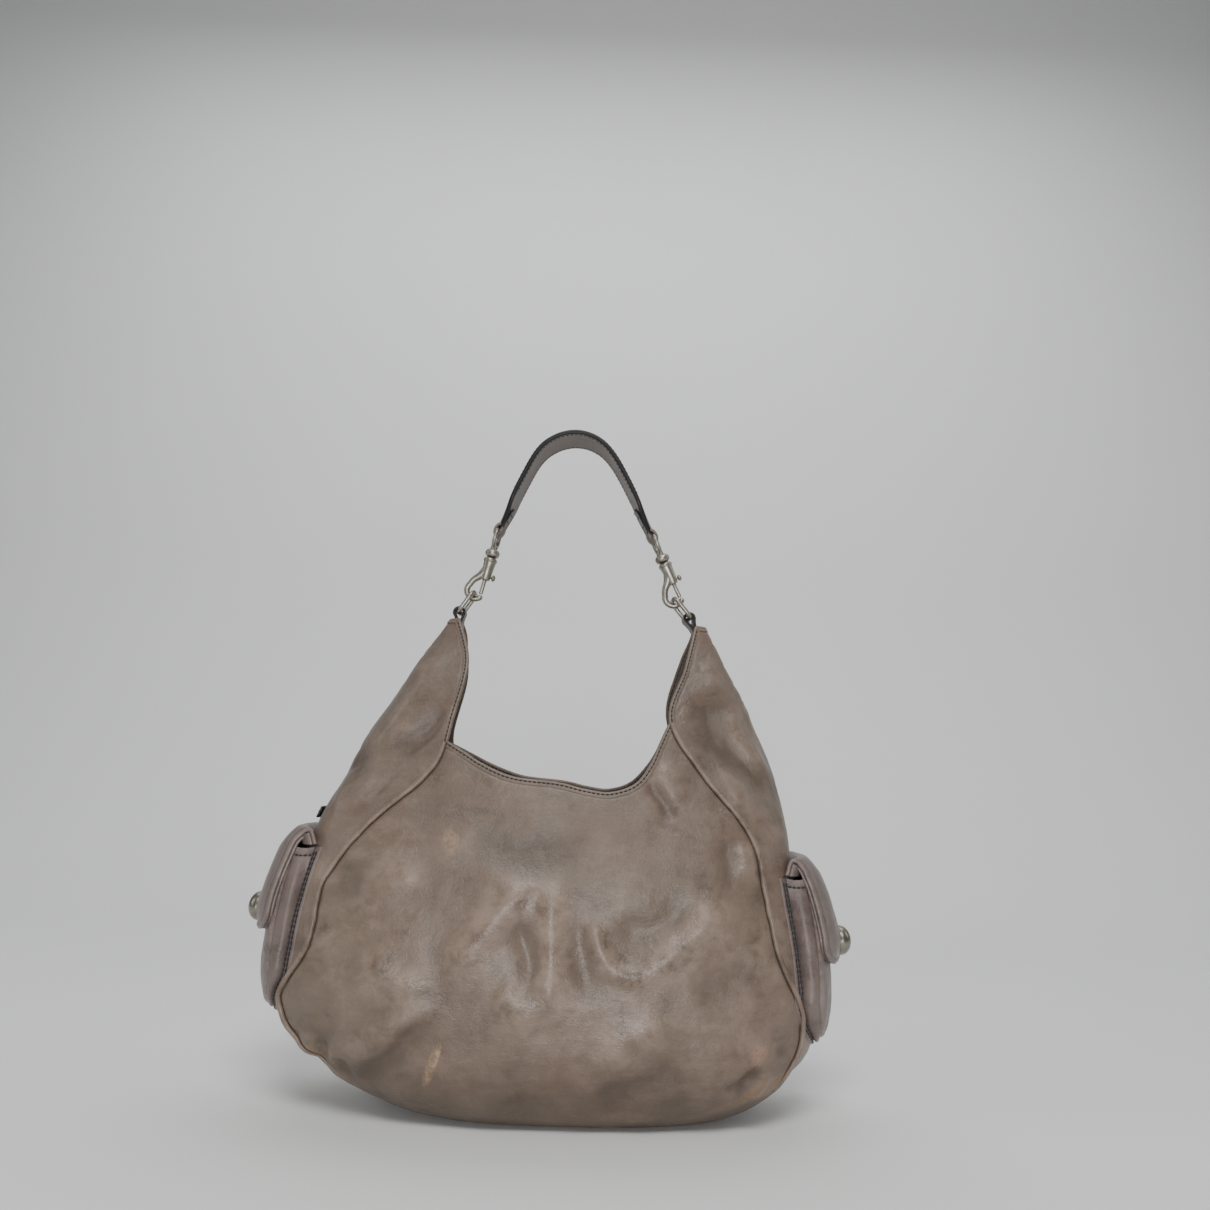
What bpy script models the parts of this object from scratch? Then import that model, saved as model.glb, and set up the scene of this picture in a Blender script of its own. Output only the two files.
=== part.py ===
"""A slouchy leather hobo bag with cargo side pockets and a clip-on shoulder strap.

Frame: +Z up, the bag stands on z = 0, X runs from horn to horn, -Y is the front.
Sizes are in millimetres here, and become metres where the meshes are made.
"""
import math

import bmesh
import bpy
import numpy as np
from mathutils import Matrix, Vector

MM = 0.001

# The soft body, one row per station from the base line up to the horn tips: height, half width
# to the left and to the right, half depth, squareness of the section, and the x of the left and
# the right edge of the side gussets (seam lines below the mouth, free horn edges above it).
STATIONS = np.array([
    (0, 70, 120, 0, 2.6, -60, 110),
    (0, 74, 122, 26, 2.6, -65, 114),
    (1, 92, 134, 46, 2.6, -83, 126),
    (14, 128, 161, 62, 2.7, -116, 150),
    (40, 172, 187, 73, 2.8, -157, 171),
    (75, 196, 194, 77, 2.8, -183, 179),
    (115, 193, 189, 76, 2.75, -162, 161),
    (155, 185, 181, 71, 2.75, -157, 152),
    (195, 175, 176, 61, 2.7, -129, 142),
    (235, 155.5, 168.5, 50, 2.5, -87, 110),
    (275, 134.5, 150, 42, 2.4, -76, 85),
    (315, 111.5, 131, 31, 2.4, -70, 97),
    (350, 89, 114, 22, 2.4, -81, 106),
], float)
TIP_LEVEL = len(STATIONS) - 1

# The dipping mouth line between the two gusset seams, as (x, height).
MOUTH_LINE = np.array([(-95, 262), (-79, 254), (-66, 247), (-50, 238), (-28, 230), (4, 227),
                       (24, 223), (42, 221.5), (60, 228), (71, 242), (78, 258), (86, 274),
                       (100, 290)], float)

SKIN = 2.4          # leather and backing of the outer panels
GAP = 0.4           # clearance kept between pieces that touch
PANEL_ROWS = 11
PANEL_START = 0.0012  # the panels part this share of the way up from the base's middle line
PANEL_COLUMNS = 16
HORN_ROWS = 7
GUSSET_COLUMNS = 10
TIP_COLUMNS = 4     # binding points round half a horn tip
LINING_DEPTH = 6.0  # outer face of the lining below the outer face of the leather
LINING = 0.9
LINING_ROWS = 6
LINING_REACH = 0.955  # the lining stops this far up towards the mouth edge
PIPE_R = 1.5
PIPE_LOW_LEVEL = 2.75
BINDING_WIDE = 2.9
BINDING_HIGH = 2.4

# Side pockets, measured on the left one. The right one sits lower and a little closer in.
POCKET_TOP = 177
POCKET_BOTTOM = 66
POCKET_CORNER = 30
POCKET_TOP_HALF = 37
POCKET_LOW_HALF = 43
POCKET_BULGE = 12.5
POCKET_SKIN = 2.2
POCKET_FRONT = np.array([(60, 199), (66, 201.5), (80, 205.5), (97, 207), (120, 206), (150, 201.5),
                         (177, 195), (190, 191)], float)
POCKET_ROWS = 7
POCKET_COLUMNS = 8
FLAP_FOLD = (188.0, 187.0)      # x and height of the fold line that the flap turns on
FLAP_LINE = np.array([(189.5, 187.4), (197, 186), (205, 179), (210.5, 166), (213.2, 150),
                      (214.2, 134), (213.5, 119)], float)
FLAP_THICK = 4.2
FLAP_TOP_HALF = 41
FLAP_LOW_HALF = 45
ROOT_THICK = 3.2
STUD_HEIGHT = 130
STUD_R = 10.5
STUD_RISE = 10.2
SNAP_BASE = 0.9      # height of the press-stud post's foot
POCKETS = {"left": (-1, 0.0, 0.0), "right": (1, -11.0, 0.0)}  # side, drop, step outwards

# The hooks. Each has its own frame: the origin is the middle of the wire at the lowest point of
# the hook's bight, Z runs up the shank and X points to the side with the thumb knob.
WIRE_R = 2.1
BIGHT_R = 6.8
BARREL_X = 4.7
BARREL_R = 3.5
BARREL_LOW, BARREL_HIGH = 17.0, 33.0
BORE_R = 2.3
BOLT_R = 1.6
BOLT_LOW, BOLT_HIGH = 5.0, 24.5
BOLT_TRAVEL = 5.0
KNOB_Z = 19.7
COLLAR_LOW, COLLAR_HIGH = 35.6, 42.4
EYE_BAR_Z = 57.5
EYE_HALF = 10.2
EYE_R = 1.7
RING_R = 1.75
RING_HALF = 9.0
RING_LONG = 19.6
HOOKS = {"left": ((-71.3, 368.4), 13.0), "right": ((90.7, 368.4), -25.5)}  # origin, lean
# lean of each ring and its twist in degrees, its offset in the bight and its slack above the wire
RINGS = {"left": (-33.0, 0.0, 0.0, 0.6), "right": (40.0, 6.0, -1.2, 1.0)}
KEEPER_FOOT = {"left": (-79.6, 338.0), "right": (108.6, 339.0)}
KEEPER_HALF = 5.4
KEEPER_THICK = 4.2

# The shoulder strap's outer face, from the left eye over the top to the right eye.
STRAP_LINE = np.array([(-37.5, 462), (-24.5, 488), (-11, 500), (5.5, 504.5), (22, 500.5),
                       (35.5, 488.5), (50, 464)], float)
STRAP_WIDE = 36
STRAP_END_WIDE = 13.5
STRAP_THICK = 3.6
STRAP_TAPER = 26
LOOP_R = 5.0

ZIP_CENTRE = (0.0, 190.0)
ZIP_LONG = 150
ZIP_TRAVEL = 118
MAGNET_CENTRE = (8.0, 205.0)
MAGNET_R = 9
PLATE_SIZE = (26, 1.6, 9)
PLATE_HEIGHT = 200

COLOURS = {
    "leather": ((0.235, 0.192, 0.168), 0.46, 0.0),
    "pocket_leather": ((0.262, 0.215, 0.205), 0.44, 0.0),
    "edge_paint": ((0.022, 0.020, 0.021), 0.42, 0.0),
    "strap_leather": ((0.205, 0.170, 0.152), 0.50, 0.0),
    "nickel": ((0.60, 0.585, 0.55), 0.30, 1.0),
    "steel": ((0.45, 0.45, 0.45), 0.35, 1.0),
    "lining": ((0.10, 0.085, 0.078), 0.85, 0.0),
    "zip_tape": ((0.035, 0.032, 0.032), 0.80, 0.0),
}


# ---- small tools ------------------------------------------------------------------------------

def material(name):
    """Return the Principled material of this name, made once."""
    found = bpy.data.materials.get(name)
    if found:
        return found
    colour, roughness, metallic = COLOURS[name]
    made = bpy.data.materials.new(name)
    made.use_nodes = True
    shader = made.node_tree.nodes["Principled BSDF"]
    shader.inputs["Base Color"].default_value = (*colour, 1)
    shader.inputs["Roughness"].default_value = roughness
    shader.inputs["Metallic"].default_value = metallic
    return made


def own_material(name, finish):
    """Give a node its own copy of a finish."""
    made = material(finish).copy()
    made.name = name + "_finish"
    return made


def add_object(name, mesh_data, finish, place=None, angle=40):
    """Turn a bmesh in millimetres into a finished object. The origin is the place matrix's."""
    bmesh.ops.recalc_face_normals(mesh_data, faces=mesh_data.faces)
    bmesh.ops.scale(mesh_data, vec=(MM, MM, MM), verts=mesh_data.verts)
    mesh = bpy.data.meshes.new(name)
    mesh_data.to_mesh(mesh)
    mesh_data.free()
    mesh.shade_smooth()
    mesh.set_sharp_from_angle(angle=math.radians(angle))
    made = bpy.data.objects.new(name, mesh)
    bpy.context.scene.collection.objects.link(made)
    if place is not None:
        made.matrix_world = place
    if finish:
        mesh.materials.append(own_material(name, finish))
    return made


def move_origin(thing, point):
    """Put an object's origin on a joint axis, in millimetres, without moving its mesh."""
    offset = Vector(point) * MM
    thing.data.transform(Matrix.Translation(-offset))
    thing.matrix_world = Matrix.Translation(offset) @ thing.matrix_world


def combine(target, tool, operation):
    """Join or cut with a hidden helper object."""
    tool.hide_render = True
    tool.display_type = "WIRE"
    step = target.modifiers.new(operation.lower(), "BOOLEAN")
    step.operation = operation
    step.object = tool
    step.solver = "EXACT"


def quads(mesh_data, first, second, closed=False):
    """Bridge two rows of vertices with faces."""
    count = len(first)
    for i in range(count if closed else count - 1):
        j = (i + 1) % count
        ring = [first[i], first[j], second[j], second[i]]
        ring = [v for k, v in enumerate(ring) if v not in ring[:k]]
        if len(ring) > 2:
            mesh_data.faces.new(ring)


def shell(outer, inner, closed_columns=False, merge_first=False):
    """Make a thin closed shell between two grids of points, given as rows of columns."""
    mesh_data = bmesh.new()
    layers = [[[mesh_data.verts.new(p) for p in row] for row in grid] for grid in (outer, inner)]
    for layer in layers:
        for low, high in zip(layer, layer[1:]):
            quads(mesh_data, low, high, closed_columns)
    top, bottom = layers
    quads(mesh_data, top[-1], bottom[-1], closed_columns)
    if not merge_first:
        quads(mesh_data, top[0], bottom[0], closed_columns)
    if not closed_columns:
        for column in (0, -1):
            quads(mesh_data, [r[column] for r in top], [r[column] for r in bottom])
    if merge_first:
        edge = top[0] + bottom[0]
        bmesh.ops.remove_doubles(mesh_data, verts=edge, dist=0.001)
    return mesh_data


def sweep(path, across, upward, section, closed=False):
    """Sweep a section of (across, upward) offsets along a path with its own two directions."""
    mesh_data = bmesh.new()
    rings = []
    for k, point in enumerate(path):
        shape = section[k] if isinstance(section[0], list) else section
        rings.append([mesh_data.verts.new(point + a * across[k] + u * upward[k])
                      for a, u in shape])
    for low, high in zip(rings, rings[1:]):
        quads(mesh_data, low, high, True)
    if closed:
        quads(mesh_data, rings[-1], rings[0], True)
    else:
        mesh_data.faces.new(rings[0])
        mesh_data.faces.new(rings[-1][::-1])
    return mesh_data


def round_section(radius, sides=8):
    """A regular polygon as (across, upward) offsets."""
    turns = [math.tau * (k + 0.5) / sides for k in range(sides)]
    return [(radius * math.cos(t), radius * math.sin(t)) for t in turns]


def tangents(path, closed=False):
    """Unit directions along a path."""
    path = np.asarray(path, float)
    if closed:
        step = np.roll(path, -1, 0) - np.roll(path, 1, 0)
    else:
        step = np.gradient(path, axis=0)
    return step / np.linalg.norm(step, axis=1)[:, None]


def tube(path, radius, fixed, sides=8, closed=False):
    """A round wire along a path that lies flat in the plane square to a fixed direction."""
    path = np.asarray(path, float)
    fixed = np.asarray(fixed, float)
    across = np.cross(tangents(path, closed), fixed)
    across /= np.linalg.norm(across, axis=1)[:, None]
    return sweep(path, across, np.tile(fixed, (len(path), 1)), round_section(radius, sides),
                 closed)


def lathe(profile, sides=16, centre=(0, 0)):
    """Turn a profile of (radius, height) about the Z axis. Radius 0 closes an end."""
    mesh_data = bmesh.new()
    rings = []
    for radius, height in profile:
        if radius == 0:
            rings.append([mesh_data.verts.new((*centre, height))] * sides)
            continue
        rings.append([mesh_data.verts.new((centre[0] + radius * math.cos(math.tau * k / sides),
                                           centre[1] + radius * math.sin(math.tau * k / sides),
                                           height)) for k in range(sides)])
    for low, high in zip(rings, rings[1:]):
        quads(mesh_data, low, high, True)
    if profile[0][0] and profile[-1][0]:
        quads(mesh_data, rings[-1], rings[0], True)
    return mesh_data


def box(low, high):
    """A plain block between two corners."""
    mesh_data = bmesh.new()
    bmesh.ops.create_cube(mesh_data, size=1)
    low, high = Vector(low), Vector(high)
    bmesh.ops.scale(mesh_data, vec=high - low, verts=mesh_data.verts)
    bmesh.ops.translate(mesh_data, vec=(low + high) / 2, verts=mesh_data.verts)
    return mesh_data


def smooth_rows(table, where):
    """Read a table of rows between its rows with a smooth Hermite curve."""
    last = len(table) - 1
    i = min(max(int(math.floor(where)), 0), last - 1)
    f = where - i
    before, a, b, after = (table[min(max(i + k, 0), last)] for k in (-1, 0, 1, 2))
    leave, arrive = (b - before) / 2, (after - a) / 2
    return ((2 * f**3 - 3 * f**2 + 1) * a + (f**3 - 2 * f**2 + f) * leave
            + (3 * f**2 - 2 * f**3) * b + (f**3 - f**2) * arrive)


# ---- the soft body's surface ------------------------------------------------------------------

def station(level):
    """Height, left and right half width, half depth, squareness and gusset edges at a level."""
    row = smooth_rows(STATIONS, level)
    row[0] = 0.0 if level <= 1 else max(row[0], 0.0)
    return row


LEVELS = np.linspace(1, TIP_LEVEL, 1200)
HEIGHTS = np.array([station(level)[0] for level in LEVELS])


def level_at(height):
    """The level on the body at a height above the base."""
    return float(np.interp(height, HEIGHTS, LEVELS))


def skin_point(level, angle):
    """A point of the outer leather: angle 0 is the right side, 90 degrees the front."""
    height, left, right, depth, power, _, _ = station(level)
    c, s = math.cos(angle), math.sin(angle)
    half = right if c > 0 else left
    return np.array([half * math.copysign(abs(c) ** (2 / power), c),
                     -depth * math.copysign(abs(s) ** (2 / power), s), height])


def skin_normal(level, angle):
    """The outward direction of the leather."""
    nudge = 0.02
    along = (skin_point(min(level + nudge, TIP_LEVEL), angle)
             - skin_point(max(level - nudge, 0), angle))
    around = skin_point(level, angle + nudge) - skin_point(level, angle - nudge)
    out = np.cross(along, around)
    size = np.linalg.norm(out)
    if level < 1 or size < 1e-6:
        return np.array([0.0, 0.0, -1.0])
    out /= size
    middle = np.array([0, 0, 150.0])
    return out if out @ (skin_point(level, angle) - middle) > 0 else -out


def edge_angle(level, side):
    """The angle, on the front, of the gusset edge on one side."""
    row = station(level)
    half, edge = (row[1], -row[5]) if side < 0 else (row[2], row[6])
    turn = math.acos(min(edge / half, 1.0) ** (row[4] / 2))
    return math.pi - turn if side < 0 else turn


def even_angles(level, start, end, fractions, trim):
    """Angles at even steps of length along a section, keeping a trim clear at both ends."""
    fine = np.linspace(start, end, 121)
    points = np.array([skin_point(level, a) for a in fine])
    length = np.concatenate([[0], np.cumsum(np.linalg.norm(np.diff(points, axis=0), axis=1))])
    if length[-1] < 1e-6:
        return start + (end - start) * np.asarray(fractions)
    trim = min(trim, length[-1] / 3)
    return np.interp(trim + np.asarray(fractions) * (length[-1] - 2 * trim), length, fine)


def column_angle(level, fraction, trim=GAP / 2):
    """Angle at a fraction of the way from the left seam to the right seam, on the front."""
    return float(even_angles(level, edge_angle(level, -1), edge_angle(level, 1),
                             [fraction], trim)[0])


def mouth_level(fraction):
    """The level where the mouth line cuts a column of the front panel."""
    low, high = level_at(195), level_at(290)
    for _ in range(24):
        middle = (low + high) / 2
        x = skin_point(middle, column_angle(middle, fraction))[0]
        if station(middle)[0] < np.interp(x, MOUTH_LINE[:, 0], MOUTH_LINE[:, 1]):
            low = middle
        else:
            high = middle
    return (low + high) / 2


COLUMNS = np.linspace(0, 1, PANEL_COLUMNS + 1)
MOUTH_LEVELS = [mouth_level(f) for f in COLUMNS]
SEAM_TOP = {-1: MOUTH_LEVELS[0], 1: MOUTH_LEVELS[-1]}
FLIP = np.array([1, -1, 1])


def place_grid(levels_and_angles, depth):
    """Points a given depth under the outer face, for a grid of (level, angle)."""
    return [[skin_point(lv, a) - depth * skin_normal(lv, a) for lv, a in row]
            for row in levels_and_angles]


def panel(name, flip):
    """The front or the back panel, cut along the side seams and the mouth line."""
    rows = []
    for i in range(PANEL_ROWS + 1):
        share = PANEL_START + (1 - PANEL_START) * i / PANEL_ROWS
        row = []
        for fraction, top in zip(COLUMNS, MOUTH_LEVELS):
            level = share * top
            row.append((level, column_angle(level, fraction)))
        rows.append(row)
    outer, inner = ([[p * flip for p in row] for row in place_grid(rows, depth)]
                    for depth in (0, SKIN))
    add_object(name, shell(outer, inner), "leather")


def gusset_levels(side):
    """Levels of a gusset's rows: the panel's rows up to the seam top, then up the horn."""
    low = [SEAM_TOP[side] * i / PANEL_ROWS for i in range(PANEL_ROWS)]
    return low + list(np.linspace(SEAM_TOP[side], TIP_LEVEL, HORN_ROWS + 1))


def gusset(name, side):
    """A side gusset, from the base up into its horn."""
    middle = math.pi if side < 0 else 0.0
    fractions = np.linspace(0, 1, GUSSET_COLUMNS + 1)
    rows = []
    for level in gusset_levels(side):
        reach = abs(middle - edge_angle(level, side))
        angles = even_angles(level, middle - reach, middle + reach, fractions, GAP / 2)
        rows.append([(level, a) for a in angles])
    add_object(name, shell(place_grid(rows, 0), place_grid(rows, SKIN), merge_first=True),
               "leather")


def rim():
    """The mouth edge all round as (level, angle), front first, then the back mirrored."""
    front = []
    tip = edge_angle(TIP_LEVEL, -1)
    for k in range(TIP_COLUMNS):
        front.append((TIP_LEVEL, math.pi + (tip - math.pi) * k / TIP_COLUMNS))
    for level in np.linspace(TIP_LEVEL, SEAM_TOP[-1], HORN_ROWS + 1)[:-1]:
        front.append((level, edge_angle(level, -1)))
    front += [(lv, column_angle(lv, f)) for lv, f in zip(MOUTH_LEVELS, COLUMNS)]
    for level in np.linspace(SEAM_TOP[1], TIP_LEVEL, HORN_ROWS + 1)[1:]:
        front.append((level, edge_angle(level, 1)))
    tip = edge_angle(TIP_LEVEL, 1)
    for k in range(1, TIP_COLUMNS + 1):
        front.append((TIP_LEVEL, tip * (1 - k / TIP_COLUMNS)))
    return front + [(level, -angle) for level, angle in front[-2:0:-1]]


def mouth_binding():
    """The bound edge that runs round the mouth and over both horn tips."""
    loop = rim()
    out = np.array([skin_normal(*p) for p in loop])
    path = np.array([skin_point(*p) for p in loop]) - out * SKIN / 2
    along = tangents(path, closed=True)
    out -= (out * along).sum(1)[:, None] * along
    out /= np.linalg.norm(out, axis=1)[:, None]
    up = np.cross(out, along)
    wide, low, high = BINDING_WIDE / 2, GAP, GAP + BINDING_HIGH
    section = [(-wide, low), (wide, low), (wide, high), (-wide, high)]
    add_object("mouth_binding", sweep(path, out, up, section, closed=True), "leather")


def lining():
    """The fabric lining, a thin bag inside the leather one."""
    loop = rim()[::2]
    rows = [[(level * LINING_REACH * i / LINING_ROWS, angle) for level, angle in loop]
            for i in range(LINING_ROWS + 1)]
    grids = [place_grid(rows, depth) for depth in (LINING_DEPTH, LINING_DEPTH + LINING)]
    add_object("lining", shell(*grids, closed_columns=True, merge_first=True), "lining")


def piping(name, side, flip):
    """The raised piping on the seam between a gusset and a panel."""
    levels = [lv for lv in gusset_levels(side) if PIPE_LOW_LEVEL < lv < SEAM_TOP[side] - 0.01]
    levels = [PIPE_LOW_LEVEL] + levels + [SEAM_TOP[side] - 0.06]
    places = [(level, edge_angle(level, side)) for level in levels]
    out = np.array([skin_normal(*p) for p in places]) * flip
    path = np.array([skin_point(*p) for p in places]) * flip + out * (PIPE_R + GAP)
    along = tangents(path)
    out -= (out * along).sum(1)[:, None] * along
    out /= np.linalg.norm(out, axis=1)[:, None]
    add_object(name, sweep(path, out, np.cross(along, out), round_section(PIPE_R, 6)), "leather")


# ---- side pockets -----------------------------------------------------------------------------

def side_reach(side, y, height):
    """How far the outer leather stands out from x = 0, at a y and a height."""
    _, left, right, depth, power, _, _ = station(level_at(height))
    half = left if side < 0 else right
    return half * (1 - min(abs(y) / depth, 0.999) ** power) ** (1 / power)


def pocket_half(z):
    """Half width of the pocket's outline at a height on the left pocket."""
    slope = (POCKET_LOW_HALF - POCKET_TOP_HALF) / (POCKET_TOP - POCKET_BOTTOM - POCKET_CORNER)
    half = min(POCKET_TOP_HALF + slope * (POCKET_TOP - z), POCKET_LOW_HALF)
    below = POCKET_BOTTOM + POCKET_CORNER - z
    if below > 0:
        half -= POCKET_CORNER - math.sqrt(max(POCKET_CORNER**2 - below**2, 0))
    return half


def pocket_front(y, z):
    """Reach of the pocket's bulging outer face."""
    middle = np.interp(z, POCKET_FRONT[:, 0], POCKET_FRONT[:, 1])
    return middle - POCKET_BULGE * (y / POCKET_LOW_HALF) ** 2


def pocket_heights():
    """Heights of the pocket's rows, closer together round the lower corners."""
    corner = [POCKET_BOTTOM + POCKET_CORNER * (1 - math.cos(math.radians(t)))
              for t in (0, 30, 60, 90)]
    return corner + list(np.linspace(corner[-1], POCKET_TOP, POCKET_ROWS - 2))[1:]


def pocket_face(name, side, drop, step):
    """The outer face of a pocket."""
    grids = []
    for depth in (0, POCKET_SKIN):
        grids.append([[(side * (pocket_front(y, z) + step - depth), y, z + drop)
                       for y in np.linspace(-1, 1, POCKET_COLUMNS + 1) * pocket_half(z)]
                      for z in pocket_heights()])
    add_object(name, shell(*grids), "pocket_leather")


def pocket_gusset(name, side, drop, step):
    """The strip that joins a pocket's face to the bag: front side, bottom and back side."""
    heights = pocket_heights()
    bottom = pocket_half(POCKET_BOTTOM)
    outline = [(-pocket_half(z), z) for z in heights[:0:-1]]
    outline += [(y, POCKET_BOTTOM) for y in np.linspace(-bottom, bottom, 5)]
    outline += [(pocket_half(z), z) for z in heights[1:]]
    along = tangents(np.array(outline))
    outer, inner = [], []
    for (y, z), (ty, tz) in zip(outline, along):
        lean = np.array([-tz, ty]) * POCKET_SKIN
        far = pocket_front(y, z) + step - POCKET_SKIN - GAP
        near = min(side_reach(side, y, z + drop) + 0.8, far - 1.6)
        reach = np.linspace(near, far, 4)
        outer.append([(side * r, y, z + drop) for r in reach])
        inner.append([(side * max(r, side_reach(side, y + lean[0], z + drop + lean[1]) + 0.8),
                       y + lean[0], z + drop + lean[1]) for r in reach])
    add_object(name, shell(outer, inner), "pocket_leather")


def pocket_flap(name, side, drop, step):
    """The padded flap beyond its fold line. Its origin lies on the fold."""
    line = FLAP_LINE
    along = tangents(line)
    grids = []
    for depth in (0, FLAP_THICK):
        grid = []
        for k, ((x, z), (tx, tz)) in enumerate(zip(line, along)):
            share = k / (len(line) - 1)
            half = FLAP_TOP_HALF + (FLAP_LOW_HALF - FLAP_TOP_HALF) * share
            inward = np.array([tz, -tx]) * depth
            grid.append([(side * (x + inward[0] - share * POCKET_BULGE * u * u + step),
                          u * half, z + inward[1] + drop) for u in np.linspace(-1, 1, 9)])
        grids.append(grid)
    made = add_object(name, shell(*grids), "pocket_leather")
    move_origin(made, (side * (FLAP_FOLD[0] + step), 0, FLAP_FOLD[1] + drop))
    return made


def flap_root(name, side, drop, step):
    """The sewn end of the flap, from the bag out to the fold line."""
    outer, inner = [], []
    for y in np.linspace(-FLAP_TOP_HALF, FLAP_TOP_HALF, 9):
        rows = []
        for z in (FLAP_FOLD[1] + 0.4, FLAP_FOLD[1] + 0.4 - ROOT_THICK):
            near = side_reach(side, y, z + drop) + 1.4
            far = FLAP_FOLD[0] + step + 0.3
            rows.append([(side * r, y, z + drop) for r in np.linspace(near, far, 3)])
        outer.append(rows[0])
        inner.append(rows[1])
    add_object(name, shell(outer, inner), "pocket_leather")


def turned_piece(name, profile, point, direction, finish, sides=16):
    """A lathe-turned piece whose axis starts at a point and runs along a direction."""
    made = add_object(name, lathe(profile, sides), finish)
    turn = Vector(direction).to_track_quat("Z", "Y").to_matrix().to_4x4()
    made.data.transform(Matrix.Translation(Vector(point) * MM) @ turn)
    return made


def pocket_snap(label, side, drop, step):
    """The domed stud on the flap, the press-stud socket behind it and its post on the face."""
    out = (side, 0, 0)
    height = STUD_HEIGHT + drop
    surface = np.interp(-STUD_HEIGHT, -FLAP_LINE[:, 1], FLAP_LINE[:, 0]) + step
    dome = [(STUD_R * math.cos(t), STUD_RISE * math.sin(t))
            for t in np.radians([0, 18, 36, 54, 72])]
    profile = [(0, 0), (STUD_R, 0)] + dome[1:] + [(0, STUD_RISE)]
    start = surface + GAP
    fold = (side * (FLAP_FOLD[0] + step), 0, FLAP_FOLD[1] + drop)
    pieces = [turned_piece("flap_stud_" + label, profile, (side * start, 0, height), out,
                           "nickel")]
    face = pocket_front(0, STUD_HEIGHT) + step + 1.5 * GAP
    post = [(0, 0), (4.4, 0), (4.4, SNAP_BASE), (1.6, SNAP_BASE), (1.6, 2 * SNAP_BASE),
            (0, 2 * SNAP_BASE)]
    turned_piece("snap_post_" + label, post, (side * face, 0, height), out, "nickel", 12)
    low = face + SNAP_BASE + GAP
    high = surface - FLAP_THICK - 2 * GAP - low
    socket = [(2.2, 0), (5.0, 0), (5.0, high), (2.2, high)]
    pieces.append(turned_piece("snap_socket_" + label, socket, (side * low, 0, height), out,
                               "nickel", 12))
    for piece in pieces:
        move_origin(piece, fold)


# ---- hooks, rings and strap -------------------------------------------------------------------

def hook_place(label):
    """World matrix of a hook's own frame."""
    (x, z), lean = HOOKS[label]
    return Matrix.Translation((x * MM, 0, z * MM)) @ Matrix.Rotation(math.radians(lean), 4, "Y")


def hook_world(label, x, z):
    """A point of a hook's frame in the bag's frame, as x and z in millimetres."""
    point = hook_place(label) @ Vector((x * MM, 0, z * MM)) / MM
    return np.array([point.x, point.z])


def hook_body(label):
    """The bight, the barrel that houses the bolt, and the rivet that the collar turns on."""
    place = hook_place(label)
    arc = [(BIGHT_R * math.sin(a), 0, BIGHT_R * (1 - math.cos(a)))
           for a in np.radians(np.linspace(48, -125, 11))]
    neck = [(-4.6, 0, 13.6), (-2.6, 0, 16.4), (0.4, 0, 18.8), (2.6, 0, 21.0)]
    body = add_object("hook_body_" + label, tube(arc + neck, WIRE_R, (0, 1, 0)), "nickel", place)
    barrel = [(0, BARREL_LOW), (BARREL_R, BARREL_LOW), (BARREL_R, 31.5), (4.5, 32.4),
              (4.5, 34.4), (3.4, 35.2), (1.7, 35.2), (1.7, 42.9), (3.2, 43.0), (2.6, 44.6),
              (0, 45.0)]
    turned = add_object("hook_barrel_form_" + label, lathe(barrel, 12, (BARREL_X, 0)), None,
                        place)
    combine(body, turned, "UNION")
    bore = add_object("hook_bore_form_" + label,
                      lathe([(0, BARREL_LOW - 2), (BORE_R, BARREL_LOW - 2), (BORE_R, 31.0),
                             (0, 31.0)], 12, (BARREL_X, 0)), None, place)
    slot = add_object("hook_slot_form_" + label,
                      box((BARREL_X, -1.15, KNOB_Z - 1.5),
                          (BARREL_X + 6, 1.15, KNOB_Z + BOLT_TRAVEL + 1.5)), None, place)
    combine(body, bore, "DIFFERENCE")
    combine(body, slot, "DIFFERENCE")


def hook_bolt(label):
    """The spring bolt that closes the hook, with its thumb knob."""
    place = hook_place(label)
    rod = [(0, BOLT_LOW), (BOLT_R - 0.4, BOLT_LOW), (BOLT_R, BOLT_LOW + 0.5), (BOLT_R, BOLT_HIGH),
           (0, BOLT_HIGH)]
    bolt = add_object("hook_bolt_" + label, lathe(rod, 12, (BARREL_X, 0)), "nickel", place)
    knob = lathe([(0, 0), (0.85, 0), (0.85, 3.4), (2.0, 4.0), (2.5, 5.2), (1.8, 6.3), (0, 6.6)], 10)
    bmesh.ops.rotate(knob, matrix=Matrix.Rotation(math.radians(90), 3, "Y"), verts=knob.verts)
    bmesh.ops.translate(knob, vec=(BARREL_X + 0.6, 0, KNOB_Z), verts=knob.verts)
    combine(bolt, add_object("hook_knob_form_" + label, knob, None, place), "UNION")


def bolt_spring(label):
    """The coil spring that pushes the bolt shut."""
    turns, steps, radius, wire = 4, 9, 1.6, 0.28
    low, high = BOLT_HIGH + 0.5, 30.6
    path = []
    for k in range(turns * steps + 1):
        t = math.tau * k / steps
        path.append((BARREL_X + radius * math.cos(t), radius * math.sin(t),
                     low + (high - low) * k / (turns * steps)))
    path = np.array(path)
    along = tangents(path)
    out = path - np.array([BARREL_X, 0, 0])
    out[:, 2] = 0
    out /= np.linalg.norm(out, axis=1)[:, None]
    coil = sweep(path, out, np.cross(along, out), round_section(wire, 4))
    add_object("bolt_spring_" + label, coil, "steel", hook_place(label))


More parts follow.
